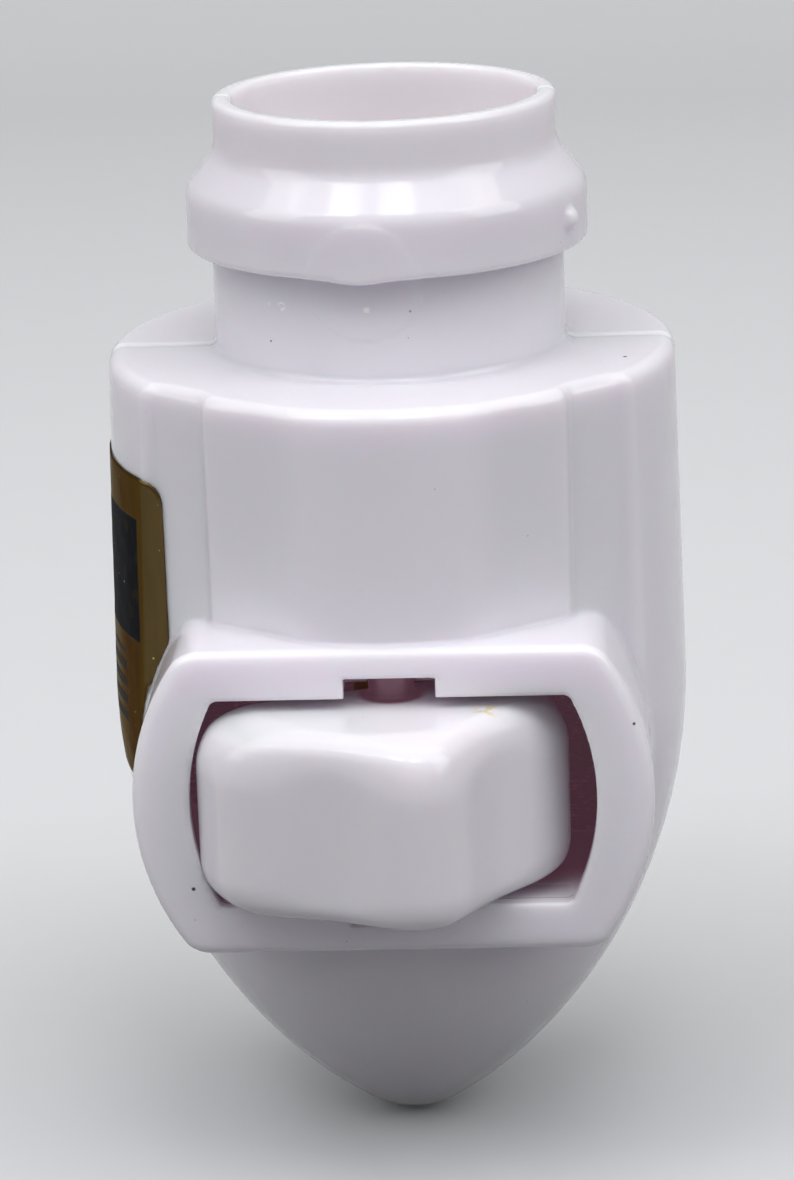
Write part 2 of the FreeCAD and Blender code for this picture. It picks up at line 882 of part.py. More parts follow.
def make_socket_holder():
    """A sleeve round the screw shell whose flange lies under the shoulder."""
    holder = size.holder_radius
    bore = screw_outside + SLIP
    foot = -4.6
    sleeve_top = size.lamp_top - size.lamp_sheet - SLIP
    flange_top = -size.wall - SLIP
    flange_foot = flange_top - size.flange_thick
    flange = holder + size.holder_flange
    profile = [
        (bore, foot),
        (holder, foot),
        (holder, flange_foot),
        (flange, flange_foot),
        (flange, flange_top),
        (holder, flange_top),
        (holder, sleeve_top),
        (bore, sleeve_top),
    ]
    body = new_body("Holder")
    revolve(body, body_sketch(body, "XZ_Plane", profile))
    publish(body, "socket_holder")


def make_centre_contact():
    """The insulating disc, the sprung tongue on it and the rivet through both."""
    top = insulator_top
    disc = rod(size.lamp_neck_radius - SLIP, size.insulator_thick, z=top - size.insulator_thick)
    hole = rod(size.rivet_radius, size.lamp_floor, z=top - size.lamp_floor)
    publish(cut(disc, hole), "contact_insulator")
    sheet = 0.4
    heel = -2.2
    bend = 3.1
    tip_near = -1.4
    tip_far = -1.9
    rise = size.tongue_rise
    spring_profile = [
        (heel, top),
        (bend, top),
        (bend, top + sheet),
        (tip_near, top + rise),
        (tip_far, top + rise),
        (tip_far, top + rise - sheet * 0.7),
        (bend - 1.1, top + sheet),
        (heel, top + sheet),
    ]
    tongue_width = 3.6
    body = new_body("Tongue")
    pad(body, body_sketch(body, "YZ_Plane", spring_profile), tongue_width, True)
    drill(body, "XY_Plane", 0, size.rivet_radius)
    publish(body, "centre_contact")
    head_radius = 1.3
    head = rod(head_radius, sheet, z=top + sheet)
    tail = rod(head_radius, sheet, z=rivet_foot)
    shank = rod(size.rivet_radius, top + sheet * 2 - rivet_foot, z=rivet_foot)
    publish(fuse(head, tail, shank), "centre_rivet")


# Insulated leads between the metal parts

def bent_path(points, bend):
    """Straight runs joined by tangent arcs of one radius."""
    corners = [FreeCAD.Vector(*[as_dim(number).value for number in point]) for point in points]
    edges = []
    start = corners[0]
    for here, after in zip(corners[1:-1], corners[2:]):
        inward = here - start
        onward = after - here
        turn = inward.getAngle(onward)
        setback = bend * math.tan(turn / 2)
        inward.normalize()
        onward.normalize()
        first = here - inward * setback
        last = here + onward * setback
        bisector = onward - inward
        bisector.normalize()
        centre = here + bisector * (bend / math.cos(turn / 2))
        edges.append(Part.LineSegment(start, first).toShape())
        edges.append(Part.Arc(first, centre - bisector * bend, last).toShape())
        start = last
    edges.append(Part.LineSegment(start, corners[-1]).toShape())
    return Part.Wire(edges)


GENTLE = 1.6
SHARP = 1.2


def make_lead(label, points, bend):
    path = bent_path(points, bend)
    begin = path.Edges[0]
    ring = Part.Circle(begin.Vertexes[0].Point, begin.tangentAt(begin.FirstParameter), size.lead_radius.value)
    lead = doc.addObject("Part::Feature", "Lead")
    lead.Shape = path.makePipeShell([Part.Wire(ring.toShape())], True, False)
    publish(lead, label)


def make_leads():
    """Screw shell to the wide blade, narrow blade to the switch, and switch to the centre contact."""
    tail = size.tail_end
    blade = size.blade_spacing / 2
    floor = -size.lamp_floor
    shell_x = -4.6
    shell_y = 0.5
    make_lead(
        "neutral_lead",
        [
            (shell_x, shell_y, floor),
            (shell_x, shell_y, floor * 2),
            (-blade, tail / 2, blade_z),
            (-blade, tail, blade_z),
        ],
        GENTLE,
    )
    turn_y = 4.2
    make_lead(
        "line_lead",
        [(blade, tail, blade_z), (blade, turn_y, blade_z), (0, turn_y - 0.2, mid_z), (0, TAIL_END, mid_z)],
        SHARP,
    )
    across = size.contact_x
    side_y = 1.0
    make_lead(
        "load_lead",
        [
            (0, 0, rivet_foot),
            (0, 0, rivet_foot - 3.8),
            (across, side_y, blade_z + 1.5),
            (across, side_y, mid_z),
            (across, TAIL_END, mid_z),
        ],
        SHARP,
    )


def make_label():
    """A thin foil seal wrapped over the seam on the left flank."""
    gap = 0.02
    thick = size.label_thick
    slope = (size.waist_radius - size.shoulder_radius) / size.waist_drop
    top_r = size.shoulder_radius + slope * size.label_top + gap
    knee_r = size.waist_radius + gap
    below = size.label_bottom - size.waist_drop
    arc = size.hull_arc + gap
    foot_r = size.waist_radius - size.hull_arc + (arc * arc - below * below).root()
    profile = [
        (top_r, -size.label_top),
        (knee_r, -size.waist_drop, arc, False),
        (foot_r, -size.label_bottom),
        (foot_r + thick, -size.label_bottom, arc + thick, True),
        (knee_r + thick, -size.waist_drop),
        (top_r + thick, -size.label_top),
    ]
    foil = turned(profile, size.label_front + size.label_back, False)
    foil.Placement = FreeCAD.Placement(
        FreeCAD.Vector(0, 0, 0), FreeCAD.Rotation(FreeCAD.Vector(0, 0, 1), 180 - size.label_back.value)
    )
    bind(foil, "Placement.Rotation.Angle", 180 - size.label_back)
    bezel = truncated_disc(size.bezel_radius + SLIP, size.bezel_half + SLIP)
    publish(cut(foil, prism(bezel, FRONT, size.bezel_front)), "foil_label")


def check(thing):
    faults = {"Invalid", "Error"} & set(thing.State)
    if faults:
        raise RuntimeError(thing.Name + " " + thing.Label + " failed: " + ", ".join(sorted(faults)))


make_front_shell()
make_rear_shell()
make_rocker()
make_plunger()
make_spring()
make_seesaw()
make_switch_metal()
make_switch_base()
make_blade("neutral_blade", -1, size.blade_wide)
make_blade("line_blade", 1, size.blade_narrow)
make_blade_retainer()
make_case_screw()
make_screw_shell()
make_socket_holder()
make_centre_contact()
make_leads()
make_label()
doc.recompute()

for thing in doc.Objects:
    check(thing)
for thing in published:
    if thing.Shape.isNull() or not thing.Shape.isValid():
        raise RuntimeError(thing.Label + " has no valid shape")

os.makedirs("parts", exist_ok=True)
for thing in published:
    thing.Shape.exportStep("parts/" + thing.Label + ".step")
    print(thing.Label, len(thing.Shape.Solids), round(thing.Shape.Volume, 2))
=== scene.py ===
import json
import math

import bpy
import numpy as np
from mathutils import Matrix, Vector


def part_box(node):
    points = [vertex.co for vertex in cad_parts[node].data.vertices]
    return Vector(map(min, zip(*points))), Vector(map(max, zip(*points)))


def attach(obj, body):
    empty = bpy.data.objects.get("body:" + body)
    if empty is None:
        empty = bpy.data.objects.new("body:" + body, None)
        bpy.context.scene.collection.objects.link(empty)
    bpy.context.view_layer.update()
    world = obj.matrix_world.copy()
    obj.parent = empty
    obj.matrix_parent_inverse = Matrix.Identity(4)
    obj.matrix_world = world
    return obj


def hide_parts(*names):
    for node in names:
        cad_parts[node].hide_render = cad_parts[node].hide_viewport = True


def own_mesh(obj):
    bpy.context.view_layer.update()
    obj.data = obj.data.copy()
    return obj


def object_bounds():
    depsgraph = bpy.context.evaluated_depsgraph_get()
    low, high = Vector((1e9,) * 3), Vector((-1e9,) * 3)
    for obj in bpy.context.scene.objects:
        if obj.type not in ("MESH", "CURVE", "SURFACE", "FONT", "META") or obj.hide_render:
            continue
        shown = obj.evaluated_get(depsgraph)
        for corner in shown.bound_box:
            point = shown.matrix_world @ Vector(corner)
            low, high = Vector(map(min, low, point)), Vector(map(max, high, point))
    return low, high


bl_info = {
    "name": "Plug-in Night Light",
    "version": (1, 0, 0),
    "blender": (4, 5, 0),
    "location": "View3D > Sidebar > Night Light",
    "description": "Models and finishes a plug-in night light base and sets its studio stage",
    "category": "Add Mesh",
}

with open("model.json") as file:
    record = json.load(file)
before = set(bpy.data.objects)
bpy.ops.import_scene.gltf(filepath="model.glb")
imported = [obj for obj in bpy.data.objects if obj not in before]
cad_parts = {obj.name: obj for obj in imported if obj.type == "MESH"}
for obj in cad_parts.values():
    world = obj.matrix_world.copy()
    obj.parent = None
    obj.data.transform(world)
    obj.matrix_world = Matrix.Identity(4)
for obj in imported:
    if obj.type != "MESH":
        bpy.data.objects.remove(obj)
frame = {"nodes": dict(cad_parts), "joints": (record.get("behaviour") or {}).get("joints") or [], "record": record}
CAD_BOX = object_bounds()
MM = 0.001


def mount(name):
    return next(m for m in frame["record"]["mounts"] if m["name"] == name)


def joint(name):
    return next(j for j in frame["joints"] if j["name"] == name)


# The shells, socket and collar are drawn about the collar's axis, with z = 0 on top of the shoulder.
COLLAR = mount("shade_collar")
LIP_LENGTH = COLLAR["dims"]["length_mm"] * MM
LIP_RADIUS = COLLAR["dims"]["r_mm"] * MM
SHELL_LOW, SHELL_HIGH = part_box("front_shell")
REAR_LOW, REAR_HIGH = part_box("rear_shell")
GROOVE_TALL = 6.5 * MM
AXIS_Y = COLLAR["pos_m"][1]
SHOULDER_Z = mount("shade_groove")["pos_m"][2] - GROOVE_TALL / 2
CASE = Matrix.Translation((0, AXIS_Y, SHOULDER_Z))
PIVOT = Vector(joint("rocker_tilt")["pos_m"])
SWING = math.radians(joint("rocker_tilt")["range_deg"][1] / 2)
SWITCH_DROP = SHOULDER_Z - PIVOT.z
SWITCH = Matrix.Translation(PIVOT) @ Matrix.Rotation(SWING, 4, "Z")
WALL_FACE = REAR_HIGH.y - AXIS_Y
SEAT_DEEP = 3 * MM
SLEEVE_DEEP = 4.6 * MM
FLANGE_TALL = 1.4 * MM
CAMERA_STAND = Vector((10.95, -259.97, 78.91)) * MM

# Dark specks and pale nicks on the case and the stain on the rocker: place and radius in metres.
SPECKS = [
    ((-0.0123, -0.0340, -0.0105), 0.00012),
    ((0.0146, -0.0340, -0.0004), 0.00010),
    ((0.0146, -0.0206, 0.01885), 0.00013),
    ((0.00167, -0.02587, 0.02328), 0.00010),
    ((-0.00694, -0.02353, 0.02105), 0.00006),
]
NICKS = [
    ((-0.00703, -0.02346, 0.02353), 0.00022),
    ((-0.00620, -0.02408, 0.02335), 0.00028),
    ((-0.00091, -0.02596, 0.02342), 0.00022),
]
STAINS = [((0.0058, -0.0342, 0.0006), 0.0007)]
DUST_GREY = (0.35, 0.30, 0.30)
SPECK_BLACK = (0.03, 0.02, 0.02)
NICK_WHITE = (0.98, 0.97, 0.98)
STAIN_YELLOW = (0.75, 0.52, 0.12)

# Lamps: name, place and size in metres, power in watts.
LAMPS = [
    ("Overhead", (0.0, -0.10, 0.75), 1.2, 0.8, 4.1),
    ("Key", (0.0, -0.50, 0.68), 1.9, 0.8, 2.7),
    ("Left glint", (-0.26, -0.42, 0.70), 0.22, 0.22, 0.6),
    ("Right glint", (0.09, -0.46, 0.70), 0.22, 0.22, 0.6),
    ("Left fill", (-0.70, -0.26, 0.50), 0.5, 0.6, 1.8),
    ("Right fill", (0.70, -0.26, 0.50), 0.5, 0.6, 2.2),
]


def size(label, about, millimetres):
    """A length that Blender shows in the scene's unit and keeps in metres."""
    return bpy.props.FloatProperty(
        name=label, description=about, default=millimetres * MM, min=0, precision=5, unit="LENGTH"
    )


def tint(label, about, colour):
    """A colour in linear values from 0 to 1."""
    return bpy.props.FloatVectorProperty(
        name=label, description=about, default=colour, size=3, min=0, max=1, subtype="COLOR"
    )


def share(label, about, value):
    """A part of the whole, from 0 to 1."""
    return bpy.props.FloatProperty(
        name=label, description=about, default=value, min=0, max=1, subtype="FACTOR"
    )


class BodySizes(bpy.types.PropertyGroup):
    """The two shells below the shoulder."""

    shoulder_radius: size("Shoulder radius", "Radius of the body's top rim", 17.8)
    shoulder_edge: size("Shoulder edge", "Rounding of the body's top rim", 0.9)
    waist_radius: size("Waist radius", "Widest radius of the body", 18.3)
    waist_drop: size("Waist drop", "Depth of the widest place under the shoulder", 22.0)
    hull_arc: size("Hull arc", "Radius of the curve from the waist to the tip", 36.0)
    tip_drop: size("Tip drop", "Depth of the lowest point under the shoulder", 52.2)
    wall: size("Wall", "Thickness of the side walls", 2.2)
    back_wall: size("Back wall", "Thickness of the flat back", 1.8)
    back_edge: size("Back edge", "Rounding where the side meets the flat back", 0.7)
    panel_radius: size("Panel radius", "Radius of the raised front panel", 17.2)
    panel_half: size("Panel half width", "Half of the raised front panel's width", 11.0)
    panel_edge: size("Panel edge", "Rounding along the raised front panel", 0.35)
    flank_near_x: size("Flank near x", "Where the flat flank starts, sideways", 11.15)
    flank_near_y: size("Flank near y", "Where the flat flank starts, forwards", 12.45)
    flank_far_x: size("Flank far x", "Where the flat flank ends, sideways", 14.4)
    flank_far_y: size("Flank far y", "Where the flat flank ends, forwards", 9.8)
    seam_step: size("Seam step", "How far the front shell lies below the rear one at the seam", 0.17)
    seam_edge: size("Seam edge", "Rounding of the shells along the seam", 0.22)
    flash: size("Flash", "Height of the moulding's thin fin along the seam", 0.1)


class CollarSizes(bpy.types.PropertyGroup):
    """The collar that carries the shade."""

    bore: size("Bore", "Radius of the hole through the collar", 9.5)
    neck_radius: size("Neck radius", "Radius under the bead", 11.0)
    neck_fillet: size("Neck fillet", "Rounding between neck and shoulder", 0.55)
    bead_radius: size("Bead radius", "Radius of the bead", 12.5)
    bead_top: size("Bead top", "Height of the bead's straight side", 10.1)
    cone_top: size("Cone top", "Height where the cone meets the lip", 12.5)
    soft_edge: size("Soft edge", "Rounding where bead, cone and lip meet", 0.34)
    crisp_edge: size("Crisp edge", "Rounding under the bead and on the lip", 0.3)
    gate_radius: size("Gate radius", "Radius of the moulding mark on the bead", 3.65)
    pip_radius: size("Pip radius", "Radius of the small pip on the bead", 0.8)


class SwitchSizes(bpy.types.PropertyGroup):
    """The switch frame and its rocker."""

    front: size("Front", "Distance of the frame's face from the collar's axis", 19.0)
    radius: size("Frame radius", "Radius of the frame's round ends", 15.8)
    half: size("Frame half height", "Half of the frame's height", 9.7)
    corner: size("Frame corner", "Rounding of the frame's four corners", 0.8)
    face_edge: size("Face edge", "Rounding round the frame's face", 0.65)
    root: size("Frame root", "Rounding where the frame grows out of the body", 0.35)
    back: size("Frame back", "How far the frame's wall reaches in", 6.5)
    wall: size("Frame wall", "Thickness of the frame's round ends", 1.8)
    face: size("Face thickness", "Thickness of the frame's face", 1.2)
    opening_radius: size("Opening radius", "Radius of the opening's round ends", 12.3)
    opening_bow: size("Opening bow", "Extra radius that flattens the opening's round ends", 2.2)
    opening_half: size("Opening half height", "Half of the opening's height", 6.65)
    notch_half: size("Notch half width", "Half of the width of the notches", 2.75)
    notch_deep: size("Notch depth", "Depth of the notches above and below", 1.25)
    notch_run: size("Notch run", "How far the notches reach in", 3.2)
    snap_slot: size("Snap slot", "Width of the slots that the rocker snaps in by", 2.2)
    sweep: size("Sweep", "Radius that the rocker's ends swing on", 11.45)
    rocker_shift: size("Rocker shift", "How far the rocker's faces sit to the left", 0.75)
    rocker_lean: bpy.props.FloatProperty(
        name="Rocker lean", description="Turn of the rocker's faces to the left on their pivot",
        default=math.radians(2), subtype="ANGLE",
    )
    rocker_half: size("Rocker half height", "Half of the rocker's height", 6.5)
    rocker_corner: size("Rocker upper corner", "Rounding of the rocker's two upper corners", 4.2)
    rocker_low_corner: size("Rocker lower corner", "Rounding of the rocker's two lower corners", 2.9)
    rocker_edge: size("Rocker edge", "Rounding along the top and bottom of the faces", 1.7)
    end_edge: size("End edge", "Rounding between each face and its end", 1.9)
    end_height: size("End height", "Height of the faces' far ends over the pivot", 5.0)
    ridge_height: size("Ridge height", "Height of the ridge over the pivot", 11.5)
    ridge_round: size("Ridge rounding", "Rounding of the ridge", 2.6)
    ridge_turn: bpy.props.FloatProperty(
        name="Ridge turn", description="Turn of each face away from the ridge where they meet",
        default=math.radians(53), subtype="ANGLE",
    )
    skirt: size("Skirt", "How far the rocker reaches behind its pivot", 1.6)
    trunnion: size("Trunnion", "Radius of the rocker's pivot stubs", 1.4)
    trunnion_half: size("Trunnion reach", "Reach of the rocker's pivot stubs", 8.0)
    stem: size("Stem", "Radius of the stem that guides the plunger", 2.9)
    stem_reach: size("Stem reach", "Reach of the stem behind the pivot", 3.2)
    plunger_bore: size("Plunger bore", "Radius of the hole for plunger and spring", 1.8)


class SpringSizes(bpy.types.PropertyGroup):
    """The spring behind the plunger, inside the rocker."""

    radius: size("Coil radius", "Radius of the coil's middle line", 1.2)
    wire: size("Wire radius", "Radius of the wire", 0.2)
    start: size("Start", "Distance of the spring's front end from the pivot", 5.7)
    run: size("Run", "Length of the coil along its middle line", 4.5)
    travel: size("Travel", "How far the plunger presses the spring", 0.5)
    turns: bpy.props.IntProperty(name="Turns", description="Turns of the coil", default=6)


class SocketSizes(bpy.types.PropertyGroup):
    """The lamp socket inside the collar."""

    thread: size("Thread", "Largest radius inside the screw shell", 5.95)
    thread_deep: size("Thread depth", "Depth of the rolled thread", 0.55)
    pitch: size("Pitch", "Distance from one turn of the thread to the next", 2.54)
    sheet: size("Sheet", "Thickness of the screw shell's brass", 0.35)
    top: size("Top", "Height of the screw shell's rim over the shoulder", 9.0)
    floor: size("Floor", "Depth of the screw shell's floor under the shoulder", 6.0)
    neck: size("Neck", "Depth where the screw shell narrows", 1.3)
    neck_radius: size("Neck radius", "Inner radius under the thread", 5.35)
    holder: size("Holder", "Outer radius of the plastic sleeve", 9.3)
    flange: size("Flange", "Width of the sleeve's flange", 2.7)


class PlugSizes(bpy.types.PropertyGroup):
    """The blades and the screw at the back."""

    thick: size("Blade thickness", "Thickness of the blades", 1.5)
    hole: size("Hole radius", "Radius of the hole near each blade's end", 1.6)
    hole_out: size("Hole place", "Distance of the hole from the wall face", 11.7)
    nose: size("Nose", "Size of the blade's cut corners", 1.2)
    tail_half: size("Tail half", "Half of the blade's height inside the case", 2.2)
    ear: size("Ear", "How far the blade's stops stand out above and below", 0.9)
    ear_long: size("Ear length", "Length of the blade's stops", 1.9)
    screw_drop: size("Screw drop", "Depth of the case screw under the shoulder", 34.5)
    screw_radius: size("Screw radius", "Radius of the case screw", 1.3)
    screw_head: size("Head radius", "Radius of the case screw's head", 2.4)
    screw_pitch: size("Screw pitch", "Distance between the case screw's threads", 0.95)


class LabelSizes(bpy.types.PropertyGroup):
    """The foil seal on the left flank."""

    top: size("Top", "Depth of the seal's top edge under the shoulder", 6.2)
    bottom: size("Bottom", "Depth of the seal's bottom edge under the shoulder", 26.6)
    corner: size("Corner", "Rounding of the seal's corners", 1.6)
    thick: size("Thickness", "Thickness of the foil", 0.08)
    front: bpy.props.FloatProperty(
        name="Front", description="Turn of the front edge from the seam",
        default=math.radians(36.3), subtype="ANGLE",
    )
    back: bpy.props.FloatProperty(
        name="Back", description="Turn of the rear edge from the seam",
        default=math.radians(27.5), subtype="ANGLE",
    )


class Finishes(bpy.types.PropertyGroup):
    """The colours of the pieces."""

    shell: tint("Shells", "Moulded white plastic of the shells", (0.795, 0.768, 0.83))
    # Painted light: a paler, brighter tint laid on the bore and on the switch frame's face.
    painted_light_tint: tint("Paler", "Plastic inside the collar and on the frame's face", (0.865, 0.825, 0.915))
    # Painted shade: dark maroon laid on the walls inside the switch frame and the case, and on the rocker's pivot
    # stubs.
    well: tint("Well", "Shaded inside of the switch frame", (0.20, 0.085, 0.11))
    # Painted glow: emission that stands in for light coming through the walls inside the case.
    painted_inner_glow: tint("Dusk", "Light that comes through the walls inside the case", (0.042, 0.019, 0.028))
    rocker: tint("Rocker", "Moulded white plastic of the rocker", (0.795, 0.768, 0.82))
    sleeve: tint("Sleeve", "Plain plastic of the socket's sleeve", (0.74, 0.72, 0.68))
    board: tint("Board", "Pressed board that carries the contacts", (0.24, 0.11, 0.12))
    brass: tint("Brass", "Blades and stamped parts", (0.80, 0.62, 0.30))
    bronze: tint("Bronze", "Sprung tongue", (0.72, 0.45, 0.25))
    steel: tint("Steel", "Screw, pin and spring", (0.60, 0.60, 0.62))
    silver: tint("Silver", "Faces of the contacts", (0.80, 0.80, 0.78))
    foil: tint("Foil", "Gold of the seal", (0.085, 0.058, 0.023))
    print: tint("Print", "Dark panels of the seal", (0.004, 0.0045, 0.006))
    white_lead: tint("White lead", "Insulation of the lead to the screw shell", (0.75, 0.75, 0.72))
    black_lead: tint("Black lead", "Insulation of the switched leads", (0.02, 0.02, 0.022))
    floor: tint("Floor", "Floor and backdrop", (0.70, 0.71, 0.73))
    shine: share("Shine", "Roughness of the shells", 0.10)


class StageSettings(bpy.types.PropertyGroup):
    """Camera and light."""

    lens: bpy.props.FloatProperty(
        name="Lens", description="Focal length on a 36 mm frame", default=122.03, unit="CAMERA"
    )
    roll: bpy.props.FloatProperty(
        name="Roll", description="Turn of the camera about its own axis",
        default=math.radians(-1.95), subtype="ANGLE",
    )
    aside: bpy.props.FloatProperty(
        name="Aside", description="Turn of the camera about the upright",
        default=math.radians(-2.6), subtype="ANGLE",
    )
    above: bpy.props.FloatProperty(
        name="Above", description="Tilt of the camera down at the object",
        default=math.radians(17.34), subtype="ANGLE",
    )
    sky: share("Sky", "Strength of the even light from all round", 0.15)


GROUPS = {
    "body": BodySizes,
    "collar": CollarSizes,
    "switch": SwitchSizes,
    "spring": SpringSizes,
    "socket": SocketSizes,
    "plug": PlugSizes,
    "label": LabelSizes,
    "finish": Finishes,
    "stage": StageSettings,
}


def settings(name):
    return getattr(bpy.context.scene, "night_light_" + name)


# Solids as fields: the distance in metres from a surface, negative inside

def both(one, other, radius=0.0):
    """What lies in both solids, with the edge between them rounded."""
    if not radius:
        return np.maximum(one, other)
    corner = np.hypot(np.maximum(one + radius, 0), np.maximum(other + radius, 0))
    return np.minimum(np.maximum(one, other), -radius) + corner


def either(one, other, radius=0.0):
    """What lies in one solid or the other, with a fillet between them."""
    return -both(-one, -other, radius)


def without(one, other, radius=0.0):
    """What lies in the first solid and outside the second, with the edge between them rounded."""
    return both(one, -other, radius)


def slab(value, low, high):
    """The layer between two values of one coordinate."""
    return np.maximum(low - value, value - high)


def block(x, y, z, xs, ys, zs, radius=0.0):
    """A box given by its two ends along each axis."""
    return both(both(slab(x, *xs), slab(y, *ys), radius), slab(z, *zs), radius)


def bump(value, reach):
    """A smooth hill of height 1 at 0 that fades out over the reach."""
    return np.exp(-((value / reach) ** 2))


def slope(field, points):
    """Unit normals of a field at the points."""
    nudge = 0.004 * MM
    parts = []
    for axis in range(3):
        ahead = points.copy()
        behind = points.copy()
        ahead[:, axis] += nudge
        behind[:, axis] -= nudge
        parts.append(field(*ahead.T) - field(*behind.T))
    normals = np.stack(parts, 1)
    lengths = np.linalg.norm(normals, axis=1, keepdims=True)
    return normals / np.maximum(lengths, 1e-12)


def crossings(value, inside, axis):
    """Where the surface crosses the grid's edges along one axis, and the four cells round each."""
    shorter = [slice(None)] * 3
    shorter[axis] = slice(None, -1)
    later = [slice(None)] * 3
    later[axis] = slice(1, None)
    corner = np.argwhere(inside[tuple(shorter)] != inside[tuple(later)])
    after = corner.copy()
    after[:, axis] += 1
    here = value[tuple(corner.T)]
    there = value[tuple(after.T)]
    place = corner.astype(float)
    place[:, axis] += here / (here - there)
    across, along = np.eye(3, dtype=int)[[(axis + 1) % 3, (axis + 2) % 3]]
    ring = np.stack([corner, corner - across, corner - across - along, corner - along], 1)
    entering = here >= 0
    ring[entering] = ring[entering][:, ::-1]
    return place, ring


def settle(place, normal, owner, count):
    """The point in each cell that lies nearest to all its tangent planes."""
    pull = 0.06

    def gather(values):
        return np.bincount(owner, values, count)

    hits = gather(np.ones(len(owner)))
    middle = np.stack([gather(place[:, axis]) for axis in range(3)], 1) / hits[:, None]
    reach = np.einsum("ij,ij->i", normal, place - middle[owner])
    matrix = np.empty((count, 3, 3))
    side = np.empty((count, 3))
    for i in range(3):
        side[:, i] = gather(normal[:, i] * reach)
        for j in range(3):
            matrix[:, i, j] = gather(normal[:, i] * normal[:, j])
    matrix += np.eye(3) * pull
    return middle + np.linalg.solve(matrix, side[:, :, None])[:, :, 0]


def skin(field, low, high, step):
    """Vertices, normals and quads of the surface where a field is zero."""
    axes = [np.arange(a - 2 * step, b + 3 * step, step) for a, b in zip(low, high)]
    start = np.array([a[0] for a in axes])
    value = field(*np.meshgrid(*axes, indexing="ij", sparse=True))
    inside = value < 0
    places, rings = zip(*[crossings(value, inside, axis) for axis in range(3)])
    place = start + np.concatenate(places) * step
    ring = np.concatenate(rings)
    cells, owner = np.unique(ring.reshape(-1, 3), axis=0, return_inverse=True)
    owner = owner.ravel()
    normal = slope(field, place)
    vertices = settle(np.repeat(place, 4, 0), np.repeat(normal, 4, 0), owner, len(cells))
    corner = start + cells * step
    vertices = np.clip(vertices, corner, corner + step)
    for _ in range(2):
        vertices -= field(*vertices.T)[:, None] * slope(field, vertices)
    return vertices, slope(field, vertices), owner.reshape(-1, 4)


def new_object(name, vertices, faces, place=Matrix.Identity(4)):
    """A smooth mesh object in the row frame, from points that were drawn in another place."""
    mesh = bpy.data.meshes.new(name)
    corners = [[int(corner) for corner in face] for face in faces]
    mesh.from_pydata(np.asarray(vertices).tolist(), [], corners)
    mesh.transform(place)
    mesh.shade_smooth()
    made = bpy.data.objects.new(name, mesh)
    bpy.context.scene.collection.objects.link(made)
    return made


def sculpt(name, field, low, high, step, place=CASE):
    """An object with the surface of a field, shaded with the field's own normals."""
    vertices, normals, quads = skin(field, low, high, step)
    made = new_object(name, vertices, quads, place)
    turned = normals @ np.array(place.to_3x3()).T
    made.data.normals_split_custom_set_from_vertices(turned.tolist())
    return made


def fit(piece, body, slot, material, *nodes):
    """Hangs a piece on its body, gives it its material and hides the nodes it stands for; the slot argument is not
    used.
    """
    piece.data.materials.append(material)
    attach(piece, body)
    if nodes:
        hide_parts(*nodes)
    return piece


# Fields of the body and the collar

def hull_side(b, out, z):
    """The body's side below the shoulder: a slight taper, a long arc and a round tip."""
    rise = b.tip_drop - b.waist_drop
    side = b.hull_arc - b.waist_radius
    tip = (b.hull_arc**2 - side**2 - rise**2) / (2 * (b.hull_arc - rise))
    tip_z = tip - b.tip_drop
    below = z + b.waist_drop
    taper = out - b.shoulder_radius + (b.waist_radius - b.shoulder_radius) * z / b.waist_drop
    arc = np.hypot(out + side, below) - b.hull_arc
    ball = np.hypot(out, z - tip_z) - tip
    past_arc = (out + side) * (tip_z + b.waist_drop) - below * side > 0
    return np.where(below > 0, taper, np.where(past_arc, ball, arc))


def front_plan(b, x, y, out):
    """The raised front panel and the flat flanks beside it."""
    wide = np.abs(x)
    run = b.flank_far_x - b.flank_near_x
    fall = b.flank_near_y - b.flank_far_y
    length = math.hypot(run, fall)
    flank = ((wide - b.flank_near_x) * fall - (y + b.flank_near_y) * run) / length
    panel = both(wide - b.panel_half, out - b.panel_radius, b.panel_edge)
    behind = either(flank, -b.flank_far_y - y, b.panel_edge)
    return either(panel, behind, b.panel_edge)


def fin(b, y, z):
    """The thin fin that the mould leaves along the seam, uneven along its height."""
    uneven = 0.5 + 0.5 * np.sin(z * 2600) * np.sin(z * 1130 + 1)
    return b.flash * uneven * bump(y, 0.12 * MM)


def collar_side(c, b, x, y, z, out):
    """Neck, bead, cone and lip, with the moulding mark and the pip on the bead."""
    run = c.bead_radius - LIP_RADIUS
    climb = c.cone_top - c.bead_top
    length = math.hypot(run, climb)
    mark = np.hypot(x + 1.1 * MM, z - GROOVE_TALL + 0.3 * MM)
    gate_step = 0.045 * MM
    gate_soft = 0.12 * MM
    disc = gate_step * (1 - np.tanh((mark - c.gate_radius) / gate_soft))
    out = out - np.where(y < 0, disc, 0)
    cone = ((out - c.bead_radius) * climb + (z - c.bead_top) * run) / length
    bead = both(out - c.bead_radius, cone, c.soft_edge)
    droop = 0.28 * MM * bump(x + 1.3 * MM, 1.7 * MM) * (y < 0)
    bead = both(bead, GROOVE_TALL - droop - z, c.crisp_edge)
    lip_top = c.cone_top + LIP_LENGTH
    lip = both(out - LIP_RADIUS, z - lip_top, c.crisp_edge * 1.4)
    lip = both(lip, GROOVE_TALL + MM - z)
    neck = both(out - c.neck_radius, slab(z, -b.wall, GROOVE_TALL + MM))
    pip_turn = math.radians(65.5)
    pip_out = c.bead_radius - 0.25 * MM
    pip_x = pip_out * math.sin(pip_turn)
    pip_y = -pip_out * math.cos(pip_turn)
    pip_z = 8.5 * MM
    pip = np.sqrt((x - pip_x) ** 2 + (y - pip_y) ** 2 + (z - pip_z) ** 2) - c.pip_radius
    return either(either(either(bead, lip, c.soft_edge), neck), pip, 0.25 * MM)


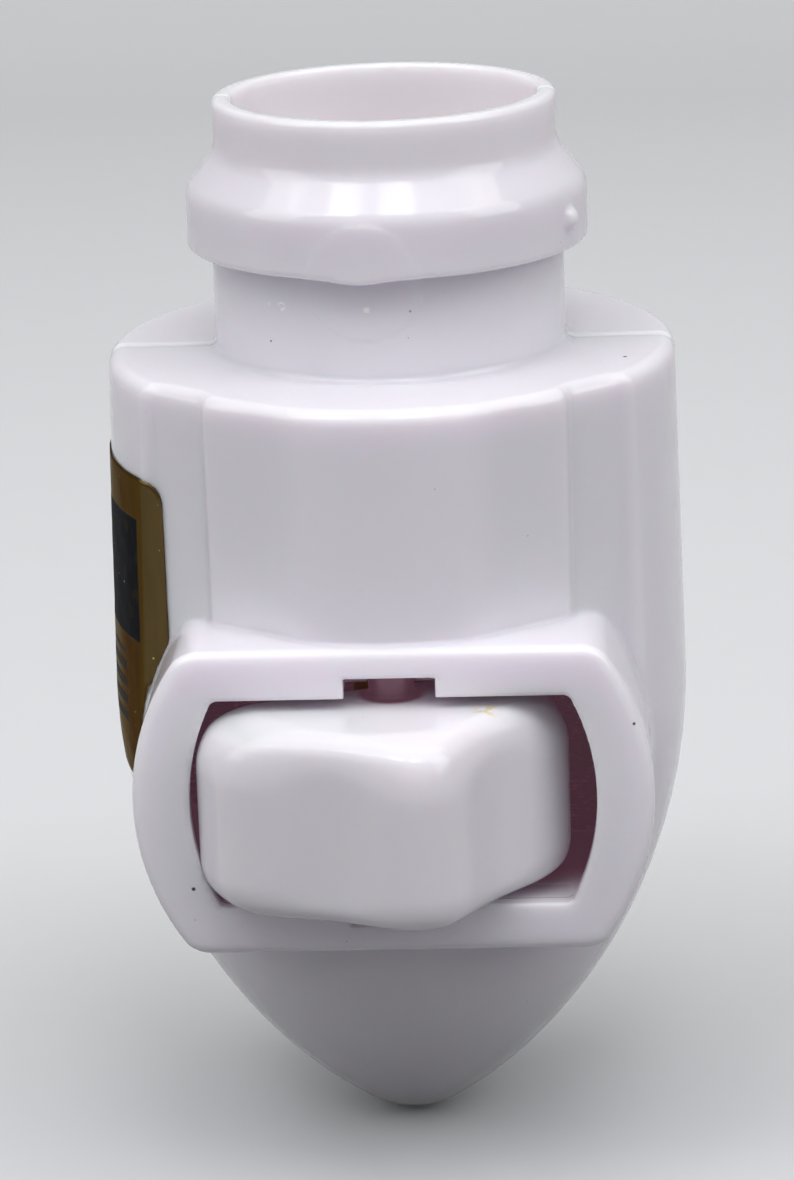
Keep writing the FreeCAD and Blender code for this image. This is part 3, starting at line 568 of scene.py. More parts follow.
def cavity(b, c, out, z):
    """The room inside the shells and the bore up through the collar."""
    room = both(hull_side(b, out, z) + b.wall, z + b.wall)
    return either(room, both(out - c.bore, -b.wall - MM - z))


def switch_disc(x, z, radius, half, corner):
    """A disc cut off flat above and below, about the switch's centre."""
    return both(np.hypot(x, z) - radius, np.abs(z) - half, corner)


def along_y(x, y, z, radius, start, end):
    """A round bar or hole that runs front to back."""
    return both(np.hypot(x, z) - radius, slab(y, start, end))


def front_shell(x, y, z):
    b, c, w, g = (settings(name) for name in ("body", "collar", "switch", "plug"))
    out = np.hypot(x, y)
    level = z + SWITCH_DROP
    fin_foot = -8 * MM
    hull = hull_side(b, out, z) - fin(b, y, z) * (z > fin_foot)
    side = both(hull, front_plan(b, x, y, out), b.panel_edge)
    case = both(side, z + b.seam_step, b.shoulder_edge)
    outline = switch_disc(x, level, w.radius, w.half, w.corner)
    rim = both(both(outline, -w.front - y, w.face_edge), y + w.back)
    outside = either(case, rim, w.root)
    outside = either(outside, collar_side(c, b, x, y, z, out - fin(b, y, z)), c.neck_fillet)
    solid = without(outside, cavity(b, c, out, z), c.crisp_edge)
    solid = either(solid, both(outline, slab(y, w.face - w.front, -w.back)))
    well = switch_disc(x, level, w.radius - w.wall, w.opening_half, 0.5 * MM)
    solid = without(solid, both(well, w.face - w.front - y))
    boss_wall = 1.2 * MM
    boss = along_y(x, y, z + g.screw_drop, g.screw_radius + boss_wall, -14 * MM, 0)
    solid = either(solid, boss, 0.3 * MM)
    bowed = np.abs(x) + w.opening_bow
    opening = switch_disc(bowed, level, w.opening_radius + w.opening_bow, w.opening_half, 0.25 * MM)
    notch_top = w.opening_half + w.notch_deep
    notch = both(np.abs(x) - w.notch_half, np.abs(level) - notch_top)
    opening = both(either(opening, notch), y + w.front - w.notch_run)
    solid = without(solid, opening, 0.18 * MM)
    pivot_y = PIVOT.y - AXIS_Y
    half_slot = w.snap_slot / 2
    slot = block(x, y, level, (-half_slot, half_slot), (-w.front, pivot_y), (-notch_top, notch_top))
    play = 0.05 * MM
    bearing = both(np.hypot(x, y - pivot_y) - w.trunnion - play, np.abs(level) - w.half + w.face)
    screw_hole = along_y(x, y, z + g.screw_drop, g.screw_radius, -11 * MM, MM)
    solid = without(solid, either(either(slot, bearing), screw_hole))
    return both(solid, y, b.seam_edge)


def rear_shell(x, y, z):
    b, c, g = (settings(name) for name in ("body", "collar", "plug"))
    out = np.hypot(x, y)
    case = both(both(hull_side(b, out, z), z, b.shoulder_edge), y - WALL_FACE, b.back_edge)
    outside = either(case, collar_side(c, b, x, y, z, out), c.neck_fillet)
    room = both(cavity(b, c, out, z), y - WALL_FACE + b.back_wall)
    solid = without(outside, room, c.crisp_edge)
    low = z + g.screw_drop
    post_wall = 2.1 * MM
    post = along_y(x, y, low, g.screw_radius + post_wall, MM, WALL_FACE - MM)
    solid = either(solid, post, 0.4 * MM)
    play = 0.2 * MM
    seat = along_y(x, y, low, g.screw_head + play, WALL_FACE - SEAT_DEEP, WALL_FACE + MM)
    holes = either(along_y(x, y, low, g.screw_radius + play, 0, WALL_FACE), seat)
    through = (WALL_FACE - b.back_wall - MM, WALL_FACE + MM)
    gap = 0.12 * MM
    for node in ("neutral_blade", "line_blade"):
        lowest, highest = blade_section(node)
        across = (lowest.x - gap, highest.x + gap)
        up = (lowest.y - gap, highest.y + gap)
        holes = either(holes, block(x, y, z, across, through, up))
    solid = without(solid, holes, 0.2 * MM)
    return both(solid, -y, b.seam_edge * 1.5)


def blade_section(node):
    """The blade's section as it leaves the wall face, across and up, about the collar's axis."""
    low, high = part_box(node)
    g = settings("plug")
    up = high.z - g.ear - SHOULDER_Z
    down = low.z + g.ear - SHOULDER_Z
    return Vector((low.x, down)), Vector((high.x, up))


def rocker(x, y, z):
    """The rocker about its pivot: two hollow faces that meet in a ridge, on round ends."""
    w = settings("switch")
    across, along = math.sin(w.ridge_turn), math.cos(w.ridge_turn)
    start = Vector((w.ridge_round * across, w.ridge_round * (1 - along) - w.ridge_height))
    end = Vector((math.sqrt(w.sweep**2 - w.end_height**2), -w.end_height))
    outward = Vector((across, -along))
    chord = end - start
    bow = chord.length_squared / (2 * chord.dot(outward))
    middle = start + outward * bow
    lean_cos, lean_sin = math.cos(w.rocker_lean), math.sin(w.rocker_lean)
    aside = x * lean_cos - y * lean_sin + w.rocker_shift * math.cos(SWING)
    deep = y * lean_cos + x * lean_sin - w.rocker_shift * math.sin(SWING)
    faces = [bow - np.hypot(side * aside - middle.x, deep - middle.y) for side in (-1, 1)]
    roof = both(*faces, w.ridge_round * 1.3)
    drum = np.hypot(aside, deep) - w.sweep
    flat = np.abs(z) - w.rocker_half
    ends = np.where(z > 0, both(drum, flat, w.rocker_corner), both(drum, flat, w.rocker_low_corner))
    solid = both(ends, both(roof, flat, w.rocker_edge), w.end_edge)
    solid = both(solid, y - w.skirt, 0.3 * MM)
    stem = along_y(x, y, z, w.stem, -2 * MM, w.stem_reach)
    trunnion = both(np.hypot(x, y) - w.trunnion, np.abs(z) - w.trunnion_half, 0.3 * MM)
    solid = either(either(solid, trunnion, 0.3 * MM), stem, 0.2 * MM)
    end_wall = 1.9 * MM
    face_wall = 1.7 * MM
    side_wall = 1.4 * MM
    rib_half = 3.3 * MM
    room = both(both(drum + end_wall, roof + face_wall), flat + side_wall)
    room = both(both(room, rib_half - np.abs(x)), y - w.skirt - MM)
    bore = along_y(x, y, z, w.plunger_bore, -6 * MM, w.stem_reach + MM)
    return without(solid, either(room, bore), 0.15 * MM)


# Fields of the socket, the blades and the screw

def screw_shell(x, y, z):
    """Thin brass with a rolled thread, necked in below it, with a turned-out rim."""
    k = settings("socket")
    out = np.hypot(x, y)
    turn = np.arctan2(y, x) / (2 * math.pi)
    threaded = np.clip((z + k.neck) / MM, 0, 1) * np.clip((k.top - MM - z) / MM, 0, 1)
    wave = k.thread_deep * (0.5 - 0.5 * np.cos(2 * math.pi * (z / k.pitch - turn))) * threaded
    step = k.thread - k.neck_radius
    narrow = np.clip((-k.neck - z) / step, 0, 1) * step
    wall = np.abs(out - k.thread - k.sheet / 2 + wave + narrow) - k.sheet / 2
    tube = both(wall, slab(z, -k.floor, k.top))
    floor = both(slab(z, -k.floor, k.sheet - k.floor), slab(out, 3 * MM, k.neck_radius + k.sheet))
    rim = both(slab(z, k.top - k.sheet, k.top), slab(out, k.thread, k.thread + 0.95 * MM), 0.1 * MM)
    return either(either(tube, floor), rim, 0.1 * MM)


def socket_holder(x, y, z):
    """The sleeve round the screw shell, with its flange and four grooves down its side."""
    k = settings("socket")
    b = settings("body")
    out = np.hypot(x, y)
    play = 0.1 * MM
    bore = k.thread + k.sheet + play
    sleeve = both(slab(out, bore, k.holder), slab(z, -SLEEVE_DEEP, k.top - k.sheet - play), 0.35 * MM)
    under = -b.wall - play
    flange = both(
        slab(out, k.holder - MM, k.holder + k.flange), slab(z, under - FLANGE_TALL, under), 0.2 * MM
    )
    aside = out * np.sin(np.arctan2(y, x) * 2)
    groove_half = 0.9 * MM
    groove_deep = (k.holder - 0.8 * MM, k.holder + MM)
    groove = block(aside, out, z, (-groove_half, groove_half), groove_deep, (0, k.top))
    return without(either(sleeve, flange, 0.2 * MM), groove, 0.1 * MM)


def blade(node):
    """A stamped blade, drawn in the row frame about the node's own middle."""
    g = settings("plug")
    low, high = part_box(node)
    middle = (low.x + high.x) / 2
    half = (high.z - low.z) / 2 - g.ear
    root = REAR_HIGH.y - settings("body").back_wall - 0.1 * MM

    def field(x, y, z):
        flat = np.abs(z)
        nose = (flat - half + y - high.y + g.nose) / math.sqrt(2)
        prong = both(both(flat - half, slab(y, low.y, high.y), 0.15 * MM), nose, 0.15 * MM)
        tail = both(flat - g.tail_half, slab(y, low.y, root))
        ears = both(flat - half - g.ear, slab(y, root - g.ear_long, root))
        outline = either(either(both(prong, root - g.ear_long - y), tail), ears, 0.1 * MM)
        hole = np.hypot(y - g.hole_out, z) - g.hole
        outline = without(outline, hole)
        return both(outline, np.abs(x - middle) - g.thick / 2, 0.16 * MM)

    return field, low, high


def case_screw(x, y, z):
    """A cross-recessed screw about the collar's axis, its thread cut into the shank's end."""
    g = settings("plug")
    low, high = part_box("case_screw")
    start = low.y - AXIS_Y
    head_y = WALL_FACE - SEAT_DEEP
    up = z + g.screw_drop
    out = np.hypot(x, up)
    turn = np.arctan2(up, x) / (2 * math.pi)
    thread_deep = 0.3 * MM
    thread_end = 6 * MM
    wave = thread_deep * (0.5 - 0.5 * np.cos(2 * math.pi * (y / g.screw_pitch - turn)))
    shank = both(out - g.screw_radius + wave * (y < thread_end), slab(y, start, head_y + 0.2 * MM))
    point = (out + (start - y)) / math.sqrt(2) - 0.4 * MM
    shank = both(shank, point)
    dome = both(out - g.screw_head, slab(y, head_y, head_y + 1.7 * MM), 0.5 * MM)
    wide, tall = np.abs(x), np.abs(up)
    arm = both(np.minimum(wide, tall) - 0.28 * MM, np.maximum(wide, tall) - 1.45 * MM)
    cross = both(arm, head_y + 0.7 * MM - y)
    return without(either(shank, dome, 0.15 * MM), cross, 0.08 * MM)


# Shader expressions

class Wire:
    """An output of a material's tree. Arithmetic on wires adds the Math nodes for it."""

    def __init__(self, paint, socket):
        self.paint = paint
        self.socket = socket

    def __add__(self, other):
        return self.paint.maths("ADD", self, other)

    def __radd__(self, other):
        return self.paint.maths("ADD", other, self)

    def __sub__(self, other):
        return self.paint.maths("SUBTRACT", self, other)

    def __rsub__(self, other):
        return self.paint.maths("SUBTRACT", other, self)

    def __mul__(self, other):
        return self.paint.maths("MULTIPLY", self, other)

    def __rmul__(self, other):
        return self.paint.maths("MULTIPLY", other, self)

    def __truediv__(self, other):
        return self.paint.maths("DIVIDE", self, other)

    def __pow__(self, other):
        return self.paint.maths("POWER", self, other)

    def __abs__(self):
        return self.paint.maths("ABSOLUTE", self)

    def above(self, level, soft):
        """0 under the level, 1 over it, with a soft step between."""
        limits = {"From Min": level - soft, "From Max": level + soft}
        return self.paint.add(
            "ShaderNodeMapRange", {"interpolation_type": "SMOOTHSTEP"}, {"Value": self, **limits}
        )

    def below(self, level, soft):
        return 1 - self.above(level, soft)


class Paint:
    """A material and the nodes that vary it over the surface."""

    def __init__(self, name, colour, roughness, metallic=0.0, **constants):
        self.material = bpy.data.materials.new(name)
        self.material.use_nodes = True
        self.tree = self.material.node_tree
        self.shader = self.tree.nodes["Principled BSDF"]
        self.shader.inputs["Base Color"].default_value = (*colour, 1)
        self.shader.inputs["Roughness"].default_value = roughness
        self.shader.inputs["Metallic"].default_value = metallic
        for socket, value in constants.items():
            self.shader.inputs[socket.replace("_", " ")].default_value = value
        self.colour = tuple(colour)
        self.roughness = roughness

    def add(self, kind, choices=None, values=None, output=0):
        """A node of one kind: its settings first, then what its sockets hold or are linked to."""
        node = self.tree.nodes.new(kind)
        for name, value in (choices or {}).items():
            setattr(node, name, value)
        for name, value in (values or {}).items():
            self.feed(node.inputs[name], value)
        return Wire(self, node.outputs[output])

    def feed(self, socket, value):
        if isinstance(value, Wire):
            self.tree.links.new(value.socket, socket)
        else:
            socket.default_value = value

    def maths(self, operation, *values):
        return self.add("ShaderNodeMath", {"operation": operation}, dict(enumerate(values)))

    def place(self):
        return self.add("ShaderNodeTexCoord", output="Object")

    def axes(self, vector):
        node = self.add("ShaderNodeSeparateXYZ", values={0: vector})
        outputs = node.socket.node.outputs
        return [Wire(self, outputs[axis]) for axis in "XYZ"]

    def noise(self, scale, detail=3.0, rough=0.5, vector=None):
        values = {"Scale": scale, "Detail": detail, "Roughness": rough}
        return self.add("ShaderNodeTexNoise", values={"Vector": vector or self.place(), **values})

    def stretched(self, x, y, z):
        values = {"Vector": self.place(), "Scale": (x, y, z)}
        return self.add("ShaderNodeMapping", values=values)

    def specks(self, scale, size, vector=None):
        """Round spots scattered in some of the cells of a pattern."""
        values = {"Vector": vector or self.place(), "Scale": scale}
        distance = self.add("ShaderNodeTexVoronoi", values=values)
        chance = self.add("ShaderNodeTexVoronoi", values=values, output="Color")
        lucky = self.axes(chance)[0].above(0.965, 0.005)
        return distance.below(size, size * 0.4) * lucky

    def mix(self, amount, one, other):
        values = {0: amount, 6: self.rgba(one), 7: self.rgba(other)}
        return self.add("ShaderNodeMix", {"data_type": "RGBA"}, values, 2)

    def rgba(self, colour):
        return colour if isinstance(colour, Wire) else (*colour[:3], 1)

    def spot(self, centre, radius, soft):
        """1 inside a small ball round a point of the object, 0 outside it."""
        ball = self.add(
            "ShaderNodeVectorMath", {"operation": "DISTANCE"}, {0: self.place(), 1: centre}, "Value"
        )
        return ball.below(radius, soft)

    def colour_from(self, wire):
        self.feed(self.shader.inputs["Base Color"], wire)

    def roughness_from(self, wire):
        self.feed(self.shader.inputs["Roughness"], wire)

    def raise_by(self, height, distance):
        """Bumps the surface by a height from 0 to 1 times the distance."""
        values = {"Height": height, "Distance": distance, "Strength": 1.0}
        bumped = self.add("ShaderNodeBump", values=values)
        self.feed(self.shader.inputs["Normal"], bumped)


def shade(colour, factor):
    return tuple(min(1.0, part * factor) for part in colour)


GLOW = {"Subsurface_Weight": 1.0, "Subsurface_Radius": (2.1, 1.7, 1.75), "Subsurface_Scale": MM}


def white_plastic(name, colour, roughness, spots=(), nicks=(), stains=(), pale=None, shaded=None):
    """Glossy white moulding: painted sheen in faint vertical bands of tone and pale streaks, fine pits, dust and a
    few rubbed places; it can also carry painted light, painted shade and a painted glow.
    """
    paint = Paint(name, colour, roughness, IOR=1.5, **GLOW)
    # Painted sheen: faint vertical bands of tone and paler streaks stand in for reflection bands on the glossy
    # walls.
    flow = paint.noise(60, 2, vector=paint.stretched(1, 1, 0.35))
    tone = paint.mix(flow, shade(colour, 0.985), shade(colour, 1.015))
    painted_sheen_streaks = paint.noise(130, 1, vector=paint.stretched(1, 1, 0.04)).above(0.55, 0.07)
    tone = paint.mix(painted_sheen_streaks * 0.5, tone, shade(colour, 1.03))
    # Painted light: the pale places get a paler, brighter tint.
    if pale:
        tone = paint.mix(pale(paint), tone, settings("finish").painted_light_tint)
    dust = paint.specks(1300, 0.075)
    tone = paint.mix(dust * 0.45, tone, DUST_GREY)
    for centre, radius in spots:
        tone = paint.mix(paint.spot(centre, radius, radius * 0.4), tone, SPECK_BLACK)
    for centre, radius in nicks:
        torn = paint.spot(centre, radius, radius * 0.5) * paint.noise(2600, 2).above(0.5, 0.05)
        tone = paint.mix(torn, tone, NICK_WHITE)
    for centre, radius in stains:
        ragged = paint.spot(centre, radius, radius * 0.6) * paint.noise(1800, 3).above(0.5, 0.1)
        tone = paint.mix(ragged * 0.7, tone, STAIN_YELLOW)
    # Painted shade and a painted glow: the masked places turn dark maroon and give off a faint emission.
    if shaded:
        mask = shaded(paint)
        tone = paint.mix(mask, tone, settings("finish").well)
        glow = paint.mix(mask, (0, 0, 0), settings("finish").painted_inner_glow)
        paint.feed(paint.shader.inputs["Emission Color"], glow)
        paint.feed(paint.shader.inputs["Emission Strength"], 1.0)
    paint.colour_from(tone)
    rubbed = paint.noise(220, 4).above(0.62, 0.12)
    scuffs = paint.noise(900, 2, vector=paint.stretched(1, 1, 0.08)).above(0.72, 0.05)
    paint.roughness_from(roughness + rubbed * 0.05 + scuffs * 0.08)
    skin_height = paint.noise(160, 2) * 0.75 + paint.noise(2600, 2) * 0.05 + dust * 0.2
    paint.raise_by(skin_height, 0.02 * MM)
    return paint.material


def painted_shade_inside_case(paint):
    """Where painted shade goes: 1 on the walls behind the switch frame's face, 0 on the outside of the case."""
    w = settings("switch")
    b = settings("body")
    soft = 0.25 * MM
    x, y, z = paint.axes(paint.place())
    level = z - PIVOT.z
    about_switch = (x * x + level * level) ** 0.5
    near = about_switch.below(w.radius - w.wall + 0.6 * MM, soft)
    behind = y.above(AXIS_Y - w.front + 3.6 * MM, 2.6 * MM)
    well = near * behind * abs(level).below(w.half - w.face, soft)
    depth = y - AXIS_Y
    about_axis = (x * x + depth * depth) ** 0.5
    room = about_axis.below(b.waist_radius - b.wall - 0.6 * MM, soft) * abs(level).below(w.half, soft)
    return paint.maths("MAXIMUM", well, room)


def painted_light_places(paint):
    """Where painted light goes: 1 on the wall of the bore and on the face of the switch frame, 0 elsewhere."""
    c = settings("collar")
    w = settings("switch")
    x, y, z = paint.axes(paint.place())
    depth = y - AXIS_Y
    about_axis = (x * x + depth * depth) ** 0.5
    bore = about_axis.below(c.bore + 0.1 * MM, 0.1 * MM) * z.above(SHOULDER_Z, MM)
    level = z - PIVOT.z
    face = y.below(AXIS_Y - w.front + 0.4 * MM, 0.35 * MM) * abs(level).below(w.half, 0.1 * MM)
    return paint.maths("MAXIMUM", bore, face)


def painted_shade_on_pivot_stubs(paint):
    """Where painted shade goes: 1 on the rocker's pivot stubs, 0 on its faces."""
    w = settings("switch")
    x, y, z = paint.axes(paint.place())
    aside = x - PIVOT.x
    depth = y - PIVOT.y
    about_pivot = (aside * aside + depth * depth) ** 0.5
    return about_pivot.below(w.trunnion + 0.6 * MM, 0.3 * MM) * abs(z - PIVOT.z).above(5 * MM, MM)


def plain_plastic(name, colour, roughness):
    """Matt moulded plastic with a fine grain and faint flow marks."""
    paint = Paint(name, colour, roughness)
    flow = paint.noise(140, 4)
    paint.colour_from(paint.mix(flow, shade(colour, 0.88), shade(colour, 1.06)))
    grain = paint.noise(4200, 2)
    paint.roughness_from(roughness - 0.06 + grain * 0.14)
    paint.raise_by(grain, 0.008 * MM)
    return paint.material


def pressed_board(name, colour):
    """Brown resin board with paper flecks, and a painted glow that stands in for light coming through the case
    walls.
    """
    painted_inner_glow = (*settings("finish").painted_inner_glow, 1)
    paint = Paint(name, colour, 0.55, Emission_Color=painted_inner_glow, Emission_Strength=1.0)
    fleck = paint.noise(1500, 4, vector=paint.stretched(1, 1, 3)).above(0.6, 0.1)
    paint.colour_from(paint.mix(fleck, shade(colour, 0.8), shade(colour, 1.9)))
    paint.roughness_from(0.48 + fleck * 0.2)
    paint.raise_by(fleck, 0.01 * MM)
    return paint.material


def worked_metal(name, colour, roughness, grain=(1, 0.05, 1), tarnish=0.35):
    """Bare metal with drawing lines along one way, tarnish and small dents."""
    paint = Paint(name, colour, roughness, metallic=1.0)
    lines = paint.noise(3800, 3, vector=paint.stretched(*grain))
    cloud = paint.noise(260, 4).above(0.55, 0.2)
    dull = paint.mix(cloud * tarnish, colour, (colour[0] * 0.62, colour[1] * 0.5, colour[2] * 0.42))
    paint.colour_from(paint.mix(lines * 0.35, dull, shade(colour, 0.8)))
    paint.roughness_from(roughness - 0.06 + lines * 0.16 + cloud * 0.1)
    paint.raise_by(lines * 0.6 + paint.specks(1400, 0.2) * 0.4, 0.006 * MM)
    return paint.material


def lead_cover(name, colour):
    """Soft insulation, slightly dulled by handling."""
    paint = Paint(name, colour, 0.42)
    wear = paint.noise(700, 4).above(0.58, 0.12)
    paint.colour_from(paint.mix(wear, colour, shade(colour, 0.75)))
    paint.roughness_from(0.36 + wear * 0.2)
    paint.raise_by(wear, 0.01 * MM)
    return paint.material


def band(value, low, high, soft):
    return value.above(low, soft) * value.below(high, soft)


def seal_foil(name, foil, ink):
    """Gold foil with plain dark panels, creases and rubbed edges. Its map runs 0 to 1 both ways."""
    paint = Paint(name, foil, 0.3, Specular_IOR_Level=0.03, Specular_Tint=(0.4, 0.33, 0.2, 1))
    spread = paint.add("ShaderNodeUVMap", {"uv_map": "Seal"})
    along, up, _ = paint.axes(spread)
    soft = 0.004
    panel = band(along, 0.10, 0.90, soft) * band(up, 0.473, 0.865, soft)
    tail = band(along, 0.10, 0.77, soft) * band(up, 0.17, 0.42, soft)
    bars = tail * band(paint.maths("FRACT", up * 18), 0.25, 0.85, 0.05)
    wear = paint.noise(900, 5).above(0.6, 0.06)
    streak = paint.noise(500, 4, vector=paint.stretched(1, 1, 0.2))
    glint = paint.mix(streak, shade(foil, 0.55), shade(foil, 1.7))
    dark = paint.maths("MAXIMUM", panel, bars * 0.75)
    tone = paint.mix(dark * (1 - wear * 0.12), glint, ink)
    flecks = paint.specks(2600, 0.16)
    tone = paint.mix(flecks, tone, (0.5, 0.4, 0.2))
    paint.colour_from(tone)
    paint.feed(paint.shader.inputs["Metallic"], 0.85 - dark * 0.85)
    paint.roughness_from(0.24 + streak * 0.16 + dark * 0.3)
    creases = paint.noise(420, 3) * 0.7 + paint.noise(1900, 3) * 0.3
    paint.raise_by(creases, 0.05 * MM)
    return paint.material


# Operators

class Builder(bpy.types.Operator):
    """What the building operators share"""

    bl_options = {"REGISTER", "UNDO"}


class AddShells(Builder):
    """Adds the front and rear shells of the case"""

    bl_idname = "night_light.add_shells"
    bl_label = "Shells"

    def execute(self, context):
        finish = settings("finish")
        # Both shells get painted light on the bore and on the frame's face.
        marks = {"spots": SPECKS, "nicks": NICKS, "pale": painted_light_places}
        white = white_plastic("Housing plastic", finish.shell, finish.shine, **marks)
        # The front shell also gets painted shade and a painted glow inside the switch frame and the case.
        marks["shaded"] = painted_shade_inside_case
        hollow = white_plastic("Housing front plastic", finish.shell, finish.shine, **marks)
        low = SHELL_LOW - CASE.translation
        high = SHELL_HIGH - CASE.translation
        front = sculpt("front_shell_moulding", front_shell, low, (high.x, 0, high.z), 0.26 * MM)
        fit(front, "case", "case_plastic", hollow, "front_shell")
        low = REAR_LOW - CASE.translation
        high = REAR_HIGH - CASE.translation
        rear = sculpt("rear_shell_moulding", rear_shell, (low.x, 0, low.z), high, 0.28 * MM)
        fit(rear, "case", "case_plastic", white, "rear_shell")
        return {"FINISHED"}


class AddRocker(Builder):
    """Adds the rocker of the switch, at the angle it rests at"""

    bl_idname = "night_light.add_rocker"
    bl_label = "Rocker"

    def execute(self, context):
        w = settings("switch")
        finish = settings("finish")
        # Painted shade and a painted glow on the pivot stubs; the stain is the rocker's own.
        marks = {"stains": STAINS, "shaded": painted_shade_on_pivot_stubs}
        white = white_plastic("Rocker plastic", finish.rocker, finish.shine, **marks)
        low = Vector((-w.sweep - w.rocker_shift, -w.ridge_height, -w.trunnion_half))
        high = Vector((w.sweep, w.stem_reach, w.trunnion_half))
        made = sculpt("rocker_button", rocker, low, high, 0.2 * MM, SWITCH)
        fit(made, "rocker", "rocker_plastic", white, "rocker")
        return {"FINISHED"}


class AddSpring(Builder):
    """Adds the spring that presses the plunger out of the rocker"""

    bl_idname = "night_light.add_spring"
    bl_label = "Plunger spring"

    def tube(self, path, radius, sides=8):
        """Vertices and faces of a round wire along a path, closed at both ends."""
        vertices, faces = [], []
        for number, point in enumerate(path):
            ahead = path[min(number + 1, len(path) - 1)] - path[max(number - 1, 0)]
            outward = Vector((point.x, 0, point.z)).normalized()
            across = ahead.normalized().cross(outward)
            for side in range(sides):
                turn = 2 * math.pi * side / sides
                vertices.append(point + (outward * math.cos(turn) + across * math.sin(turn)) * radius)
        for ring in range(len(path) - 1):
            for side in range(sides):
                a, b = ring * sides + side, ring * sides + (side + 1) % sides
                faces.append([a, b, b + sides, a + sides])
        last = len(vertices) - sides
        faces.append(list(range(sides))[::-1])
        faces.append(list(range(last, len(vertices))))
        return vertices, faces

    def execute(self, context):
        g = settings("spring")
        steps_a_turn = 28
        steps = g.turns * steps_a_turn
        path = []
        for number in range(steps + 1):
            part_way = number / steps
            turn = 2 * math.pi * g.turns * part_way
            along = -g.start + g.run * part_way
            path.append(Vector((g.radius * math.cos(turn), along, g.radius * math.sin(turn))))
        made = new_object("spring_coil", *self.tube(path, g.wire), SWITCH)
        steel = worked_metal("Spring wire", settings("finish").steel, 0.25, (1, 1, 1), 0.1)
        fit(made, "rocker", "spring_steel", steel, "plunger_spring")
        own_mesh(made)
        return {"FINISHED"}


class AddSocket(Builder):
    """Adds the lamp socket's screw shell and sleeve"""

    bl_idname = "night_light.add_socket"
    bl_label = "Lamp socket"

    def execute(self, context):
        finish = settings("finish")
        k = settings("socket")
        brass = worked_metal("Socket brass", finish.brass, 0.24, (1, 1, 0.1), 0.5)
        reach = k.thread + MM
        low = Vector((-reach, -reach, -k.floor))
        high = Vector((reach, reach, k.top))
        shell = sculpt("screw_shell_thread", screw_shell, low, high, 0.14 * MM)
        fit(shell, "case", "shell_brass", brass, "lamp_screw_shell")
        reach = k.holder + k.flange
        low = Vector((-reach, -reach, -SLEEVE_DEEP))
        high = Vector((reach, reach, k.top))
        sleeve = sculpt("socket_sleeve", socket_holder, low, high, 0.25 * MM)
        matt = plain_plastic("Sleeve plastic", finish.sleeve, 0.45)
        fit(sleeve, "case", "holder_plastic", matt, "socket_holder")
        return {"FINISHED"}


class AddPlug(Builder):
    """Adds the two blades and the case screw"""

    bl_idname = "night_light.add_plug"
    bl_label = "Blades and screw"

    def execute(self, context):
        finish = settings("finish")
        brass = worked_metal("Blade brass", finish.brass, 0.28, (1, 0.04, 1))
        for node in ("neutral_blade", "line_blade"):
            field, low, high = blade(node)
            made = sculpt(node + "_stamping", field, low, high, 0.16 * MM, Matrix.Identity(4))
            fit(made, "case", "blade_brass", brass, node)
        steel = worked_metal("Screw steel", finish.steel, 0.3, (1, 1, 1), 0.15)
        low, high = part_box("case_screw")
        screw = sculpt(
            "case_screw_threaded", case_screw, low - CASE.translation, high - CASE.translation, 0.1 * MM
        )
        fit(screw, "case", "spring_steel", steel, "case_screw")
        return {"FINISHED"}


